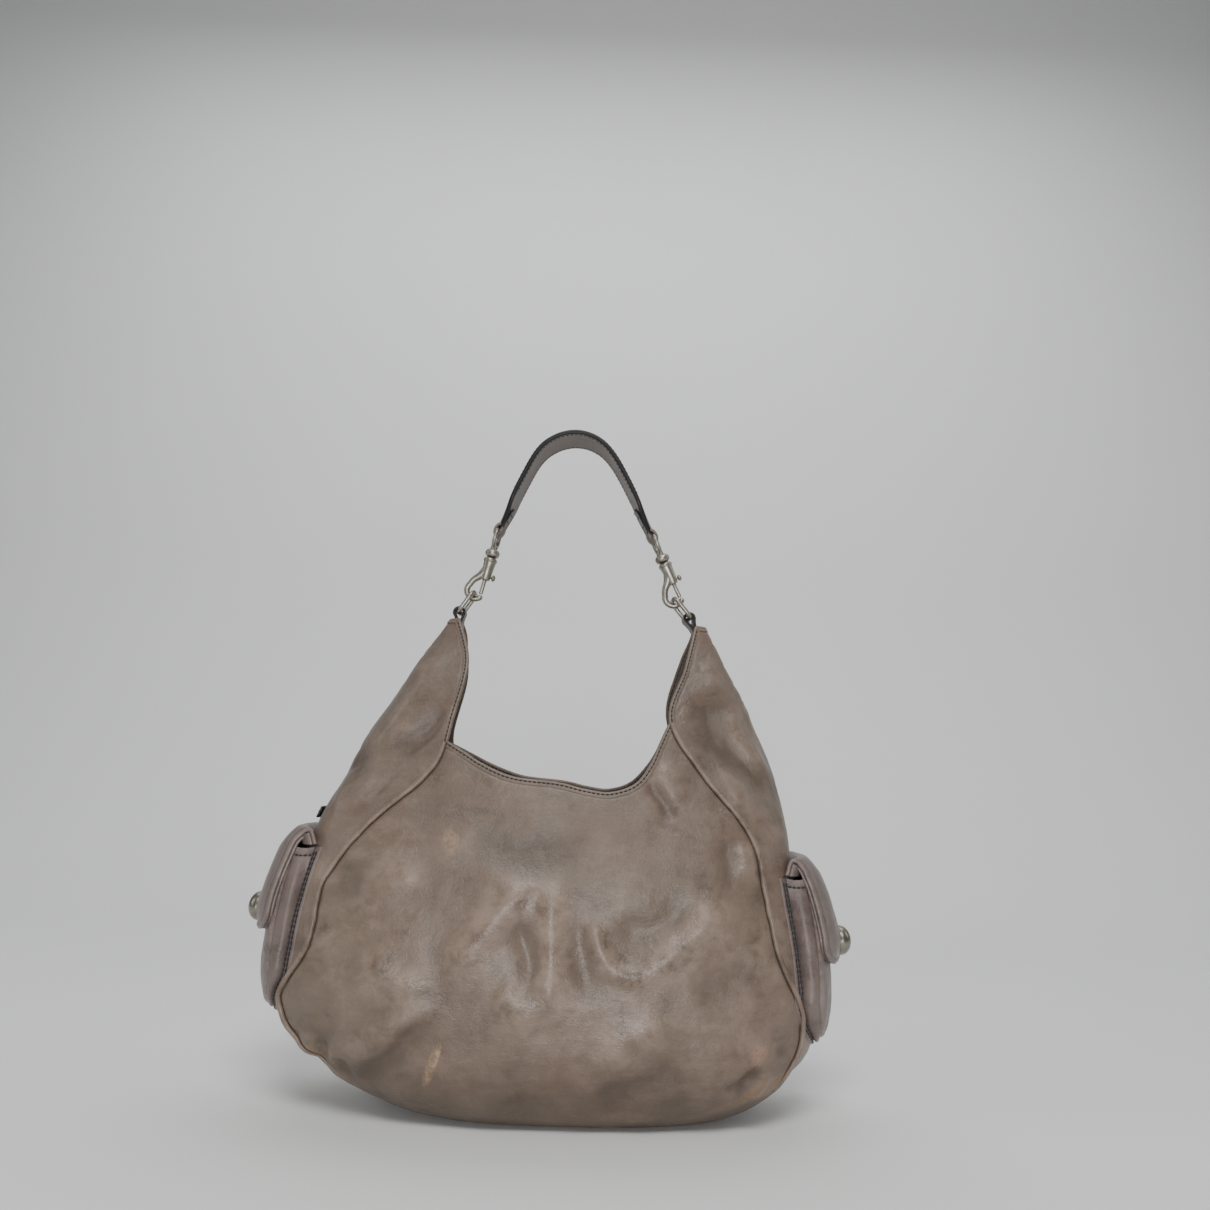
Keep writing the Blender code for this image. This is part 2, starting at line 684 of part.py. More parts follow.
def swivel_eye(label):
    """The collar that the hook turns in, with the eye that the strap passes through."""
    place = hook_place(label)
    collar = [(2.1, COLLAR_LOW), (4.4, COLLAR_LOW), (5.6, COLLAR_LOW + 1.6),
              (5.8, COLLAR_LOW + 3.4), (5.2, COLLAR_HIGH - 1.2), (3.9, COLLAR_HIGH),
              (2.1, COLLAR_HIGH)]
    eye = add_object("swivel_eye_" + label, lathe(collar, 12, (BARREL_X, 0)), "nickel", place)
    half, low, corner = EYE_HALF, COLLAR_HIGH - 3.2, 3.0
    side = [(-3.6, low), (-5.0, low + 3.4), (-half + 1.2, low + 6.6), (-half, low + 9.4)]
    side += [(-half + corner * (1 - math.cos(t)), EYE_BAR_Z - corner * (1 - math.sin(t)))
             for t in np.radians([0, 30, 60, 90])]
    path = [(BARREL_X, y, z) for y, z in side] + [(BARREL_X, -y, z) for y, z in side[::-1]]
    bow = add_object("eye_bow_form_" + label, tube(path, EYE_R, (1, 0, 0)), None, place)
    combine(eye, bow, "UNION")


def ring_ends(label):
    """The two bar centres of a ring: the hooked one and the one in its leather keeper."""
    lean, _, offset, slack = RINGS[label]
    bight_rise = BIGHT_R - math.sqrt(BIGHT_R ** 2 - offset ** 2)
    top = hook_world(label, offset, WIRE_R + slack + RING_R + bight_rise)
    lean = math.radians(lean)
    return top, top + RING_LONG * np.array([math.sin(lean), -math.cos(lean)])


def ring_place(label):
    """World matrix of a ring: origin in its keeper, Y along its bars and Z to the hook."""
    top, foot = ring_ends(label)
    up = Vector((top[0] - foot[0], 0, top[1] - foot[1])).normalized()
    forward = Vector((0, 1, 0))
    turn = Matrix((forward.cross(up), forward, up)).transposed().to_4x4()
    twist = Matrix.Rotation(math.radians(RINGS[label][1]), 4, "Z")
    return Matrix.Translation((foot[0] * MM, 0, foot[1] * MM)) @ turn @ twist


def strap_ring(label):
    """The oblong ring between a keeper loop and a hook. Its origin is in the keeper."""
    corner, half = 5.0, RING_HALF
    path = []
    for cy, cz, start in ((half - corner, RING_LONG - corner, 0), (corner - half,
                          RING_LONG - corner, 90), (corner - half, corner, 180),
                          (half - corner, corner, 270)):
        path += [(0, cy + corner * math.cos(t), cz + corner * math.sin(t))
                 for t in np.radians(start + np.array([0, 22.5, 45, 67.5, 90]))]
    add_object("strap_ring_" + label, tube(path, RING_R, (1, 0, 0), 6, closed=True), "nickel",
               ring_place(label))


def band(outline, half):
    """Extrude a closed outline of (x, z) to both sides of y = 0."""
    mesh_data = bmesh.new()
    sides = [[mesh_data.verts.new((x, y, z)) for x, z in outline] for y in (-half, half)]
    quads(mesh_data, *sides, closed=True)
    mesh_data.faces.new(sides[0])
    mesh_data.faces.new(sides[1][::-1])
    return mesh_data


def ring_keeper(label):
    """The leather tab that holds a ring, folded round its bar and sewn into the horn."""
    _, bar = ring_ends(label)
    foot = np.array(KEEPER_FOOT[label])
    reach = np.linalg.norm(bar - foot)
    lean = math.atan2(bar[0] - foot[0], bar[1] - foot[1])
    turns = np.radians(np.linspace(-60, 240, 13))
    outline = [(LOOP_R * math.cos(t), LOOP_R * math.sin(t)) for t in turns]
    outline += [(-KEEPER_THICK / 2, -LOOP_R - 2), (-KEEPER_THICK / 2, -reach),
                (KEEPER_THICK / 2, -reach), (KEEPER_THICK / 2, -LOOP_R - 2)]
    forward = ring_place(label).to_3x3() @ Vector((0, 1, 0))
    up = Vector((math.sin(lean), 0, math.cos(lean)))
    up = (up - up.dot(forward) * forward).normalized()
    turn = Matrix((forward.cross(up), forward, up)).transposed().to_4x4()
    place = Matrix.Translation((bar[0] * MM, 0, bar[1] * MM)) @ turn
    keeper = add_object("ring_keeper_" + label, band(outline, KEEPER_HALF), "edge_paint", place)
    turns = np.radians(np.arange(0, 360, 30))
    hole = [((RING_R + 0.4) * math.cos(t), (RING_R + 0.4) * math.sin(t)) for t in turns]
    combine(keeper, add_object("keeper_hole_form_" + label, band(hole, KEEPER_HALF + 2), None,
                               place), "DIFFERENCE")


def strap():
    """The shoulder strap: a stiff double band whose narrowed ends loop through the eyes."""
    bars = [hook_world(label, BARREL_X, EYE_BAR_Z) for label in ("left", "right")]
    ends = []
    for bar, towards in zip(bars, (STRAP_LINE[0], STRAP_LINE[-1])):
        ends.append(bar + (towards - bar) / np.linalg.norm(towards - bar) * (LOOP_R - 1.2))
    knots = np.vstack([ends[0], STRAP_LINE, ends[1]])
    line = np.array([smooth_rows(knots, t) for t in np.linspace(0, len(knots) - 1, 33)])
    along = tangents(line)
    run = np.concatenate([[0], np.cumsum(np.linalg.norm(np.diff(line, axis=0), axis=1))])
    sections = []
    for here in run:
        share = min(here, run[-1] - here) / STRAP_TAPER
        share = min(max(share, 0), 1)
        half = (STRAP_END_WIDE + (STRAP_WIDE - STRAP_END_WIDE) * share**0.8) / 2
        thick = STRAP_THICK / 2
        sections.append([(-thick, -half), (thick, -half), (thick, half), (-thick, half)])
    path = np.array([(x, 0, z) for x, z in line])
    out = np.array([(-tz, 0, tx) for tx, tz in along])
    side = np.tile([0.0, 1.0, 0.0], (len(path), 1))
    made = add_object("strap", sweep(path, out, side, sections), "strap_leather")
    for label, bar in zip(("left", "right"), bars):
        turns = np.radians(np.arange(0, 360, 30))
        rims = [[(bar[0] + r * math.cos(t), bar[1] + r * math.sin(t)) for t in turns]
                for r in (LOOP_R, EYE_R + 0.4)]
        form = add_object("strap_loop_form_" + label, band(rims[0], STRAP_END_WIDE / 2), None)
        hole = add_object("strap_hole_form_" + label, band(rims[1], STRAP_END_WIDE / 2 + 2), None)
        combine(made, form, "UNION")
        combine(made, hole, "DIFFERENCE")


# ---- inside and trim --------------------------------------------------------------------------

def inside_reach(x, height):
    """Half depth of the free room inside the lining, at an x and a height."""
    _, left, right, depth, power, _, _ = station(level_at(height))
    half = left if x < 0 else right
    return depth * (1 - (abs(x) / half) ** power) ** (1 / power) - LINING_DEPTH - LINING


def magnets():
    """The two halves of the magnetic closure, on the lining below the mouth."""
    x, z = MAGNET_CENTRE
    reach = inside_reach(x, z) - 3.2
    male = [(0, 0), (MAGNET_R, 0), (MAGNET_R, 2.4), (3.4, 2.4), (3.0, 4.4), (0, 4.4)]
    female = [(0, 0), (MAGNET_R, 0), (MAGNET_R, 2.6), (4.4, 2.6), (4.4, 1.2), (0, 1.2)]
    turned_piece("magnet_front", male, (x, -reach, z), (0, 1, 0), "nickel")
    turned_piece("magnet_back", female, (x, reach, z), (0, -1, 0), "nickel")


def zip_pocket():
    """The zip of the inner pocket on the back: its framed tape, the slider and the pull."""
    x, z = ZIP_CENTRE
    face = inside_reach(ZIP_LONG / 2, z + 7) - 1.2
    half = ZIP_LONG / 2
    tape = add_object("zip_tape", box((x - half, face - 1.6, z - 7), (x + half, face, z + 7)),
                      "zip_tape")
    slot = add_object("zip_slot_form", box((x - half + 10, face - 3, z - 0.6),
                                           (x + half - 10, face - 0.8, z + 0.6)), None)
    combine(tape, slot, "DIFFERENCE")
    start = x - half + 15
    slider = add_object("zip_slider", box((start - 5, face - 5.2, z - 3.6),
                                          (start + 5, face - 1.9, z + 3.6)), "nickel")
    move_origin(slider, (start, face - 6.4, z))
    pull = add_object("zip_pull", box((start - 2.6, face - 6.6, z - 24),
                                      (start + 2.6, face - 5.5, z - 1)), "nickel")
    move_origin(pull, (start, face - 6.0, z - 1.4))


def side_plate():
    """The small plain plate riveted on above the left pocket."""
    reach = side_reach(-1, 0, PLATE_HEIGHT)
    rise = side_reach(-1, 0, PLATE_HEIGHT + 4) - side_reach(-1, 0, PLATE_HEIGHT - 4)
    wide, thick, tall = PLATE_SIZE
    plate = add_object("side_plate", box((-thick, -wide / 2, -tall / 2), (0, wide / 2, tall / 2)),
                       "edge_paint")
    plate.data.transform(Matrix.Translation((-(reach + 0.9) * MM, 0, PLATE_HEIGHT * MM))
                         @ Matrix.Rotation(math.atan2(-rise, 8), 4, "Y"))


def build():
    """Make every piece of the bag."""
    for old in list(bpy.data.objects):
        bpy.data.objects.remove(old, do_unlink=True)
    same = np.array([1, 1, 1])
    panel("front_panel", same)
    panel("back_panel", FLIP)
    gusset("gusset_left", -1)
    gusset("gusset_right", 1)
    mouth_binding()
    lining()
    for label, side in (("left", -1), ("right", 1)):
        piping("piping_front_" + label, side, same)
        piping("piping_back_" + label, side, FLIP)
    for label, place in POCKETS.items():
        pocket_face("pocket_face_" + label, *place)
        pocket_gusset("pocket_gusset_" + label, *place)
        pocket_flap("pocket_flap_" + label, *place)
        flap_root("flap_root_" + label, *place)
        pocket_snap(label, *place)
    for label in HOOKS:
        hook_body(label)
        hook_bolt(label)
        bolt_spring(label)
        swivel_eye(label)
        strap_ring(label)
        ring_keeper(label)
    strap()
    magnets()
    zip_pocket()
    side_plate()


build()
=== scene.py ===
"""The looks of the slouchy leather hobo bag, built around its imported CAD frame.

Lengths are in millimetres and become metres where meshes are made. The bag stands on z = 0, X runs
from horn to horn and -Y is the front.
"""
import math

import bmesh
import bpy
import numpy as np
from mathutils import Matrix, Vector
from mathutils.kdtree import KDTree


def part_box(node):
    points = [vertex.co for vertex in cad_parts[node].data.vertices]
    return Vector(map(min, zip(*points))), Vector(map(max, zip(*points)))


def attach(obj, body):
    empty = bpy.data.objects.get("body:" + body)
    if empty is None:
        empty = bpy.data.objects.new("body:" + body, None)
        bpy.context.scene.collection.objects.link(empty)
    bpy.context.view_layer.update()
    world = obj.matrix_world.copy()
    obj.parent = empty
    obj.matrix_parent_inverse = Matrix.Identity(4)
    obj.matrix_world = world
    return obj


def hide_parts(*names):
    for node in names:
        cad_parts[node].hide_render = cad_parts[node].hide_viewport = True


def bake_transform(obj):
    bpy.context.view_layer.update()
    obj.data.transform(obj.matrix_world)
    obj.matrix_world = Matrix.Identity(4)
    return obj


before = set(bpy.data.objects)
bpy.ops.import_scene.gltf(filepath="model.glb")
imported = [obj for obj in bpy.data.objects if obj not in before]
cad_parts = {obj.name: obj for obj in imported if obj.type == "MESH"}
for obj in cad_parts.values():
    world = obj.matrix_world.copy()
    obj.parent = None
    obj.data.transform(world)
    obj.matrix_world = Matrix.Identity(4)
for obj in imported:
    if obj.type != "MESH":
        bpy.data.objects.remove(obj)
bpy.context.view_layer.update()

MM = 0.001
SOFT_SHARP = math.radians(50)       # edges sharper than this stay crisp
CAST_SHARP = math.radians(35)       # the same on cut and joined castings

# ---- the soft body's surface, as the CAD has it -------------------------------------------------
# height, left and right half width, half depth, squareness, left and right gusset edge x
STATIONS = np.array([
    (0, 70, 120, 0, 2.6, -60, 110),
    (0, 74, 122, 26, 2.6, -65, 114),
    (1, 92, 134, 46, 2.6, -83, 126),
    (14, 128, 161, 62, 2.7, -116, 150),
    (40, 172, 187, 73, 2.8, -157, 171),
    (75, 196, 194, 77, 2.8, -183, 179),
    (115, 193, 189, 76, 2.75, -162, 161),
    (155, 185, 181, 71, 2.75, -157, 152),
    (195, 175, 176, 61, 2.7, -129, 142),
    (235, 155.5, 168.5, 50, 2.5, -87, 110),
    (275, 134.5, 150, 42, 2.4, -76, 85),
    (315, 111.5, 131, 31, 2.4, -70, 97),
    (350, 89, 114, 22, 2.4, -81, 106),
], float)
TIP_LEVEL = len(STATIONS) - 1
LEVEL_MM = 37               # average height of one level above the base
MOUTH_LINE = np.array([(-95, 262), (-79, 254), (-66, 247), (-50, 238), (-28, 230), (4, 227),
                       (24, 223), (42, 221.5), (60, 228), (71, 242), (78, 258), (86, 274),
                       (100, 290)], float)
SKIN = 2.0                  # leather and backing
STITCH_IN = 2.9             # the lower edge of the strip that binds the mouth
LINING_DEPTH = 6.0          # the lining's place under the outer face
FACING_DEEP = 34            # leather facing inside the mouth
FLIP = np.array([1, -1, 1])
SAME = np.array([1, 1, 1])
BACK_LEAN = 0.27            # lean of the mouth's back edge to the left, per length of depth
HORN_LEAN = 0.15            # the same for the back of the right horn, above the mouth
HORN_STAY = -0.13           # and beside the mouth, where it leans to the right
TIP_PINCH = 0.30            # share by which the horn tips are drawn together

# ---- the side pockets, measured on the left one -------------------------------------------------
# POCKET_FRONT is (height, reach) of the outer face's middle line
POCKET_TOP = 177
POCKET_BOTTOM = 66
POCKET_CORNER = 30
POCKET_TOP_HALF = 35
POCKET_LOW_HALF = 43
POCKET_BULGE = 12.5
POCKET_SKIN = 2.0
POCKET_FRONT = np.array([(60, 199), (66, 201.5), (80, 205.5), (97, 207), (120, 206), (150, 201.5),
                         (177, 195), (190, 191)], float)
FLAP_FOLD = (188.0, 187.0)
FLAP_LOW_Z = 119
FLAP_TOP_HALF = 38.5
FLAP_LOW_HALF = 45
STUD_R = 10.5
STUD_RISE = 10.2
POCKETS = {"left": (-1, 0.0), "right": (1, -11.0)}      # side, and height against the left one

# ---- hooks, rings, keepers and strap ------------------------------------------------------------
WIRE_R = 2.1
BIGHT_R = 6.8
BARREL_X = 4.7
BORE_R = 2.3
BOLT_R = 1.6
KNOB_Z = 19.7
EYE_BAR_Z = 57.5
EYE_HALF = 10.2
EYE_R = 1.7
RING_R = 1.75
RING_HALF = 9.0
RING_LONG = 19.6
HOOKS = {"left": ((-71.3, 368.4), 13.0), "right": ((90.7, 368.4), -25.5)}
# lean and twist of each ring in degrees, its offset in the bight and its slack above the wire
RINGS = {"left": (-33.0, 0.0, 0.0, 0.6), "right": (40.0, 6.0, -1.2, 1.0)}
KEEPER_FOOT = {"left": (-79.6, 338.0), "right": (108.6, 339.0)}
KEEPER_HALF = 5.4
KEEPER_THICK = 4.2
LOOP_R = 5.0
STRAP_LINE = np.array([(-37.5, 462), (-24.5, 488), (-11, 500), (5.5, 504.5), (22, 500.5),
                       (35.5, 488.5), (50, 464)], float)
STRAP_WIDE = 36
STRAP_END_WIDE = 13.5
STRAP_THICK = 3.6
STRAP_TAPER = 26
SIDES = {"left": -1, "right": 1}
FACES = {"front": SAME, "back": FLIP}


# ---- small tools --------------------------------------------------------------------------------

def smooth_rows(table, where):
    """Read a table of rows at fractional row numbers with a smooth Hermite curve."""
    where = np.asarray(where, float)
    last = len(table) - 1
    i = np.clip(np.floor(where).astype(int), 0, last - 1)
    f = (where - i)[..., None]
    before, a, b, after = (table[np.clip(i + k, 0, last)] for k in (-1, 0, 1, 2))
    leave, arrive = (b - before) / 2, (after - a) / 2
    return ((2 * f**3 - 3 * f**2 + 1) * a + (f**3 - 2 * f**2 + f) * leave
            + (3 * f**2 - 2 * f**3) * b + (f**3 - f**2) * arrive)


def smooth_line(points, count):
    """A smooth curve through points, read at count even steps of length."""
    points = np.asarray(points, float)
    fine = smooth_rows(points, np.linspace(0, len(points) - 1, 40 * len(points)))
    run = lengths(fine)
    even = np.linspace(0, run[-1], count)
    return np.stack([np.interp(even, run, fine[:, k]) for k in range(points.shape[1])], 1)


def lengths(path):
    """Length from the start to each point of a path."""
    steps = np.linalg.norm(np.diff(path, axis=0), axis=1)
    return np.concatenate([[0], np.cumsum(steps)])


def unit(vectors):
    """Vectors at length one."""
    return vectors / np.maximum(np.linalg.norm(vectors, axis=-1, keepdims=True), 1e-9)


def ease(value):
    """0 below 0, 1 above 1, and smooth between."""
    value = np.clip(value, 0, 1)
    return value * value * (3 - 2 * value)


def hump(distance, width):
    """A soft bump that is 1 at distance 0."""
    return np.exp(-(distance / width) ** 2)


LATTICE = np.random.default_rng(23).random((48, 48, 48))


def noise(points, size):
    """Smooth noise between -1 and 1 with features of a size in millimetres."""
    place = np.asarray(points, float) / size
    cell = np.floor(place).astype(int)
    f = place - cell
    f = f * f * f * (f * (f * 6 - 15) + 10)
    total = 0
    for corner in np.ndindex(2, 2, 2):
        corner = np.array(corner)
        at = (cell + corner) % LATTICE.shape[0]
        share = np.prod(np.where(corner == 1, f, 1 - f), axis=-1)
        total = total + share * LATTICE[at[..., 0], at[..., 1], at[..., 2]]
    return 2 * total - 1


def rough_noise(points, size, octaves=3):
    """Noise with finer noise on top."""
    return sum(noise(np.asarray(points) + 31.7 * k, size / 2**k) / 2**k for k in range(octaves))


def new_object(name, points, faces):
    """A mesh object from points in millimetres, with its faces turned outwards."""
    mesh = bpy.data.meshes.new(name)
    mesh.from_pydata((np.asarray(points, float) * MM).tolist(), [], [list(f) for f in faces])
    work = bmesh.new()
    work.from_mesh(mesh)
    bmesh.ops.recalc_face_normals(work, faces=work.faces)
    work.to_mesh(mesh)
    work.free()
    made = bpy.data.objects.new(name, mesh)
    bpy.context.scene.collection.objects.link(made)
    return made


def make(name, parts, material, body, nodes=(), marks=None):
    """Make a smooth piece of (points, faces) with named marks on its points and its material,
    hang it on the body it rides on, and hide the CAD nodes it stands for."""
    piece = new_object(name, *parts)
    for key, values in (marks or {}).items():
        layer = piece.data.attributes.new(key, "FLOAT", "POINT")
        layer.data.foreach_set("value", np.asarray(values, np.float32))
    piece.data.shade_smooth()
    piece.data.set_sharp_from_angle(angle=SOFT_SHARP)
    piece.data.materials.append(material)
    if body:
        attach(piece, body)
    if nodes:
        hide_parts(*nodes)
    return piece


def make_nickel(name, parts, body, node):
    """A hardware piece of satin nickel."""
    return make(name, parts, NICKEL, body, [node])


def sew(name, rows, body="bag"):
    """Rows of stitches as one piece of thread."""
    make(name, merge(*rows), THREAD, body)


def grid_faces(rows, columns, wrap=False, start=0):
    """Quads between the points of a grid."""
    index = np.arange(rows * columns).reshape(rows, columns) + start
    if wrap:
        index = np.concatenate([index, index[:, :1]], 1)
    return np.stack([index[:-1, :-1], index[:-1, 1:], index[1:, 1:], index[1:, :-1]],
                    -1).reshape(-1, 4)


def shell_parts(outer, inner, wrap=False):
    """Points and faces of a thin closed shell between two grids."""
    rows, columns = outer.shape[:2]
    size = rows * columns
    top = grid_faces(rows, columns, wrap)
    bottom = grid_faces(rows, columns, wrap, size)[:, ::-1]
    index = np.arange(size).reshape(rows, columns)
    edges = [index[0], index[-1][::-1]]
    if wrap:
        edges = [np.append(index[0], index[0, 0]), np.append(index[-1], index[-1, 0])[::-1]]
    else:
        edges += [index[:, -1], index[:, 0][::-1]]
    sides = [np.stack([e[:-1], e[:-1] + size, e[1:] + size, e[1:]], 1) for e in edges]
    points = np.concatenate([outer.reshape(-1, 3), inner.reshape(-1, 3)])
    return points, np.concatenate([top, bottom, *sides]).tolist()


def outside(values):
    """Marks for a shell: the outer layer's values, and none on the inner layer."""
    return np.concatenate([values.ravel(), 0 * values.ravel()])


def tangents(path, closed=False):
    """Unit directions along a path."""
    path = np.asarray(path, float)
    step = np.roll(path, -1, 0) - np.roll(path, 1, 0) if closed else np.gradient(path, axis=0)
    return unit(step)


def sweep_parts(path, across, upward, section, closed=False):
    """Points and faces of a section of (across, upward) offsets swept along a path.
    The section is one outline, or one for each point of the path."""
    section = np.asarray(section, float)
    if section.ndim == 2:
        section = np.broadcast_to(section, (len(path), *section.shape))
    rings = (path[:, None] + section[..., :1] * across[:, None]
             + section[..., 1:] * upward[:, None])
    count, sides = rings.shape[:2]
    if closed:
        rings = np.concatenate([rings, rings[:1]])
        faces = grid_faces(count + 1, sides, True) % (count * sides)
        return rings[:-1].reshape(-1, 3), faces.tolist()
    faces = grid_faces(count, sides, True).tolist()
    faces.append(list(range(sides))[::-1])
    faces.append(list(range((count - 1) * sides, count * sides)))
    return rings.reshape(-1, 3), faces


def round_section(radius, sides=20, flat=1.0):
    """A circle or ellipse as (across, upward) offsets."""
    t = np.linspace(0, math.tau, sides, endpoint=False)
    return np.stack([radius * np.cos(t), flat * radius * np.sin(t)], 1)


def square_to(out, along):
    """Directions turned square to a path."""
    return unit(out - (out * along).sum(-1, keepdims=True) * along)


def merge(*parts):
    """Several (points, faces) as one."""
    points, faces, start = [], [], 0
    for some, these in parts:
        points.append(np.asarray(some, float))
        faces += [[i + start for i in f] for f in these]
        start += len(some)
    return np.concatenate(points), faces


def tube_parts(path, radius, fixed, sides=20, closed=False):
    """A round wire along a path in the plane square to a fixed direction."""
    path = np.asarray(path, float)
    up = np.broadcast_to(np.asarray(fixed, float), path.shape)
    across = unit(np.cross(tangents(path, closed), up))
    radii = np.broadcast_to(radius, len(path))
    return sweep_parts(path, across, up, [round_section(r, sides) for r in radii], closed)


def lathe_parts(profile, sides=40, centre=(0, 0)):
    """Turn a profile of (radius, height) about the Z axis. A radius of 0 closes an end."""
    t = np.linspace(0, math.tau, sides, endpoint=False)
    points, rings = [], []
    for radius, height in profile:
        if radius == 0:
            rings.append([len(points)] * sides)
            points.append((*centre, height))
        else:
            rings.append(list(range(len(points), len(points) + sides)))
            points += [(centre[0] + radius * c, centre[1] + radius * s, height)
                       for c, s in zip(np.cos(t), np.sin(t))]
    if profile[0][0] and profile[-1][0]:
        rings.append(rings[0])
    faces = []
    for low, high in zip(rings, rings[1:]):
        for k in range(sides):
            j = (k + 1) % sides
            ring = [low[k], low[j], high[j], high[k]]
            faces.append([v for n, v in enumerate(ring) if v not in ring[:n]])
    return np.array(points, float), faces


def rounded(profile, radius, steps=4):
    """A profile with its inner corners rounded off."""
    profile = [np.array(p, float) for p in profile]
    made = [profile[0]]
    for a, b, c in zip(profile, profile[1:], profile[2:]):
        reach = min(radius, np.linalg.norm(a - b) / 2.2, np.linalg.norm(c - b) / 2.2)
        start, end = b + reach * unit(a - b), b + reach * unit(c - b)
        for t in np.linspace(0, 1, steps):
            made.append((1 - t) ** 2 * start + 2 * t * (1 - t) * b + t * t * end)
    return [tuple(p) for p in made + [profile[-1]]]


def moved(parts, matrix):
    """(points, faces) placed by a matrix in millimetres."""
    points, faces = parts
    turn = np.array(matrix, float)
    return np.asarray(points) @ turn[:3, :3].T + turn[:3, 3], faces


def carve(piece, *cuts):
    """Join or cut a piece with helper forms and keep only the result."""
    for operation, parts in cuts:
        form = new_object("form", *parts)
        step = piece.modifiers.new("form", "BOOLEAN")
        step.operation = operation
        step.object = form
        step.solver = "EXACT"
        bpy.context.view_layer.update()
        graph = bpy.context.evaluated_depsgraph_get()
        result = bpy.data.meshes.new_from_object(piece.evaluated_get(graph))
        piece.modifiers.clear()
        piece.data = result
        bpy.data.objects.remove(form)
    piece.data.shade_smooth()
    piece.data.set_sharp_from_angle(angle=CAST_SHARP)


# ---- materials ----------------------------------------------------------------------------------

def node(tree, kind, inputs=None, **settings):
    """Add a shader node. Inputs are values or the sockets that feed them."""
    made = tree.nodes.new(kind)
    for key, value in settings.items():
        setattr(made, key, value)
    for key, value in (inputs or {}).items():
        if isinstance(value, bpy.types.NodeSocket):
            tree.links.new(value, made.inputs[key])
        else:
            made.inputs[key].default_value = value
    return made


def new_material(name, **constants):
    """A Principled material with its constant sockets set. Returns material, tree and shader."""
    made = bpy.data.materials.new(name)
    made.use_nodes = True
    tree = made.node_tree
    shader = tree.nodes["Principled BSDF"]
    for key, value in constants.items():
        shader.inputs[key.replace("_", " ")].default_value = value
    return made, tree, shader


def object_place(tree, stretch=(1, 1, 1), turn=(0, 0, 0)):
    """Object coordinates in metres, stretched and turned."""
    place = node(tree, "ShaderNodeTexCoord").outputs["Object"]
    return node(tree, "ShaderNodeMapping", {"Vector": place, "Scale": stretch,
                                            "Rotation": turn}).outputs["Vector"]


def noise_node(tree, place, scale, detail=3.0, rough=0.55, distortion=0.0):
    """Factor output of a noise texture. Scale is in features per metre."""
    return node(tree, "ShaderNodeTexNoise", {"Vector": place, "Scale": scale, "Detail": detail,
                                             "Roughness": rough,
                                             "Distortion": distortion}).outputs["Fac"]


def maths(tree, operation, a, b=0.0, c=0.0):
    """Output of a Math node."""
    return node(tree, "ShaderNodeMath", {0: a, 1: b, 2: c}, operation=operation).outputs[0]


def span(tree, value, low, high, to_low=0.0, to_high=1.0):
    """Map a value's range onto another, clamped."""
    return node(tree, "ShaderNodeMapRange", {"Value": value, "From Min": low, "From Max": high,
                                             "To Min": to_low, "To Max": to_high}
                ).outputs["Result"]


def mixed(tree, share, a, b, blend="MIX"):
    """Colour a going to colour b."""
    made = node(tree, "ShaderNodeMix", data_type="RGBA", blend_type=blend)
    for socket, value in ((made.inputs[0], share), (made.inputs[6], a), (made.inputs[7], b)):
        if isinstance(value, bpy.types.NodeSocket):
            tree.links.new(value, socket)
        else:
            socket.default_value = value if isinstance(value, float) else (*value, 1)
    return made.outputs[2]


def ramp(tree, value, *stops):
    """A colour ramp of (position, colour) stops."""
    made = node(tree, "ShaderNodeValToRGB", {"Fac": value})
    made.color_ramp.interpolation = "EASE"
    while len(made.color_ramp.elements) < len(stops):
        made.color_ramp.elements.new(0.5)
    for element, (position, colour) in zip(made.color_ramp.elements, stops):
        element.position = position
        element.color = (*colour, 1)
    return made.outputs["Color"]


def tinted(colour, share):
    """A colour made brighter or darker, by one share or by one for each channel."""
    return tuple(np.multiply(colour, share).tolist())


def connect(shader, colour, rough, *layers):
    """Feed a shader its colour, its roughness and (height, distance in metres, strength) bumps."""
    tree = shader.id_data
    tree.links.new(colour, shader.inputs["Base Color"])
    if isinstance(rough, float):
        shader.inputs["Roughness"].default_value = rough
    else:
        tree.links.new(rough, shader.inputs["Roughness"])
    for height, distance, strength in layers:
        bump = node(tree, "ShaderNodeBump",
                    {"Height": height, "Distance": distance, "Strength": strength})
        if shader.inputs["Normal"].is_linked:
            tree.links.new(shader.inputs["Normal"].links[0].from_socket, bump.inputs["Normal"])
        tree.links.new(bump.outputs["Normal"], shader.inputs["Normal"])


def attribute(tree, name):
    """One of the marks on a piece's points."""
    return node(tree, "ShaderNodeAttribute", attribute_name=name).outputs["Fac"]


def waves(tree, place, scale, distortion, axis="X"):
    """Factor output of a banded wave texture."""
    return node(tree, "ShaderNodeTexWave",
                {"Vector": place, "Scale": scale, "Distortion": distortion},
                wave_type="BANDS", bands_direction=axis).outputs["Fac"]


def mark(tree, centre, size, lean, place):
    """A soft-edged slanted spot on the front of the bag: 1 inside and 0 outside."""
    local = node(tree, "ShaderNodeMapping", {"Vector": place, "Location": centre,
                                             "Rotation": (0, lean, 0), "Scale": size},
                 vector_type="TEXTURE").outputs["Vector"]
    length = node(tree, "ShaderNodeVectorMath", {0: local}, operation="LENGTH").outputs["Value"]
    return span(tree, length, 1.0, 0.55)


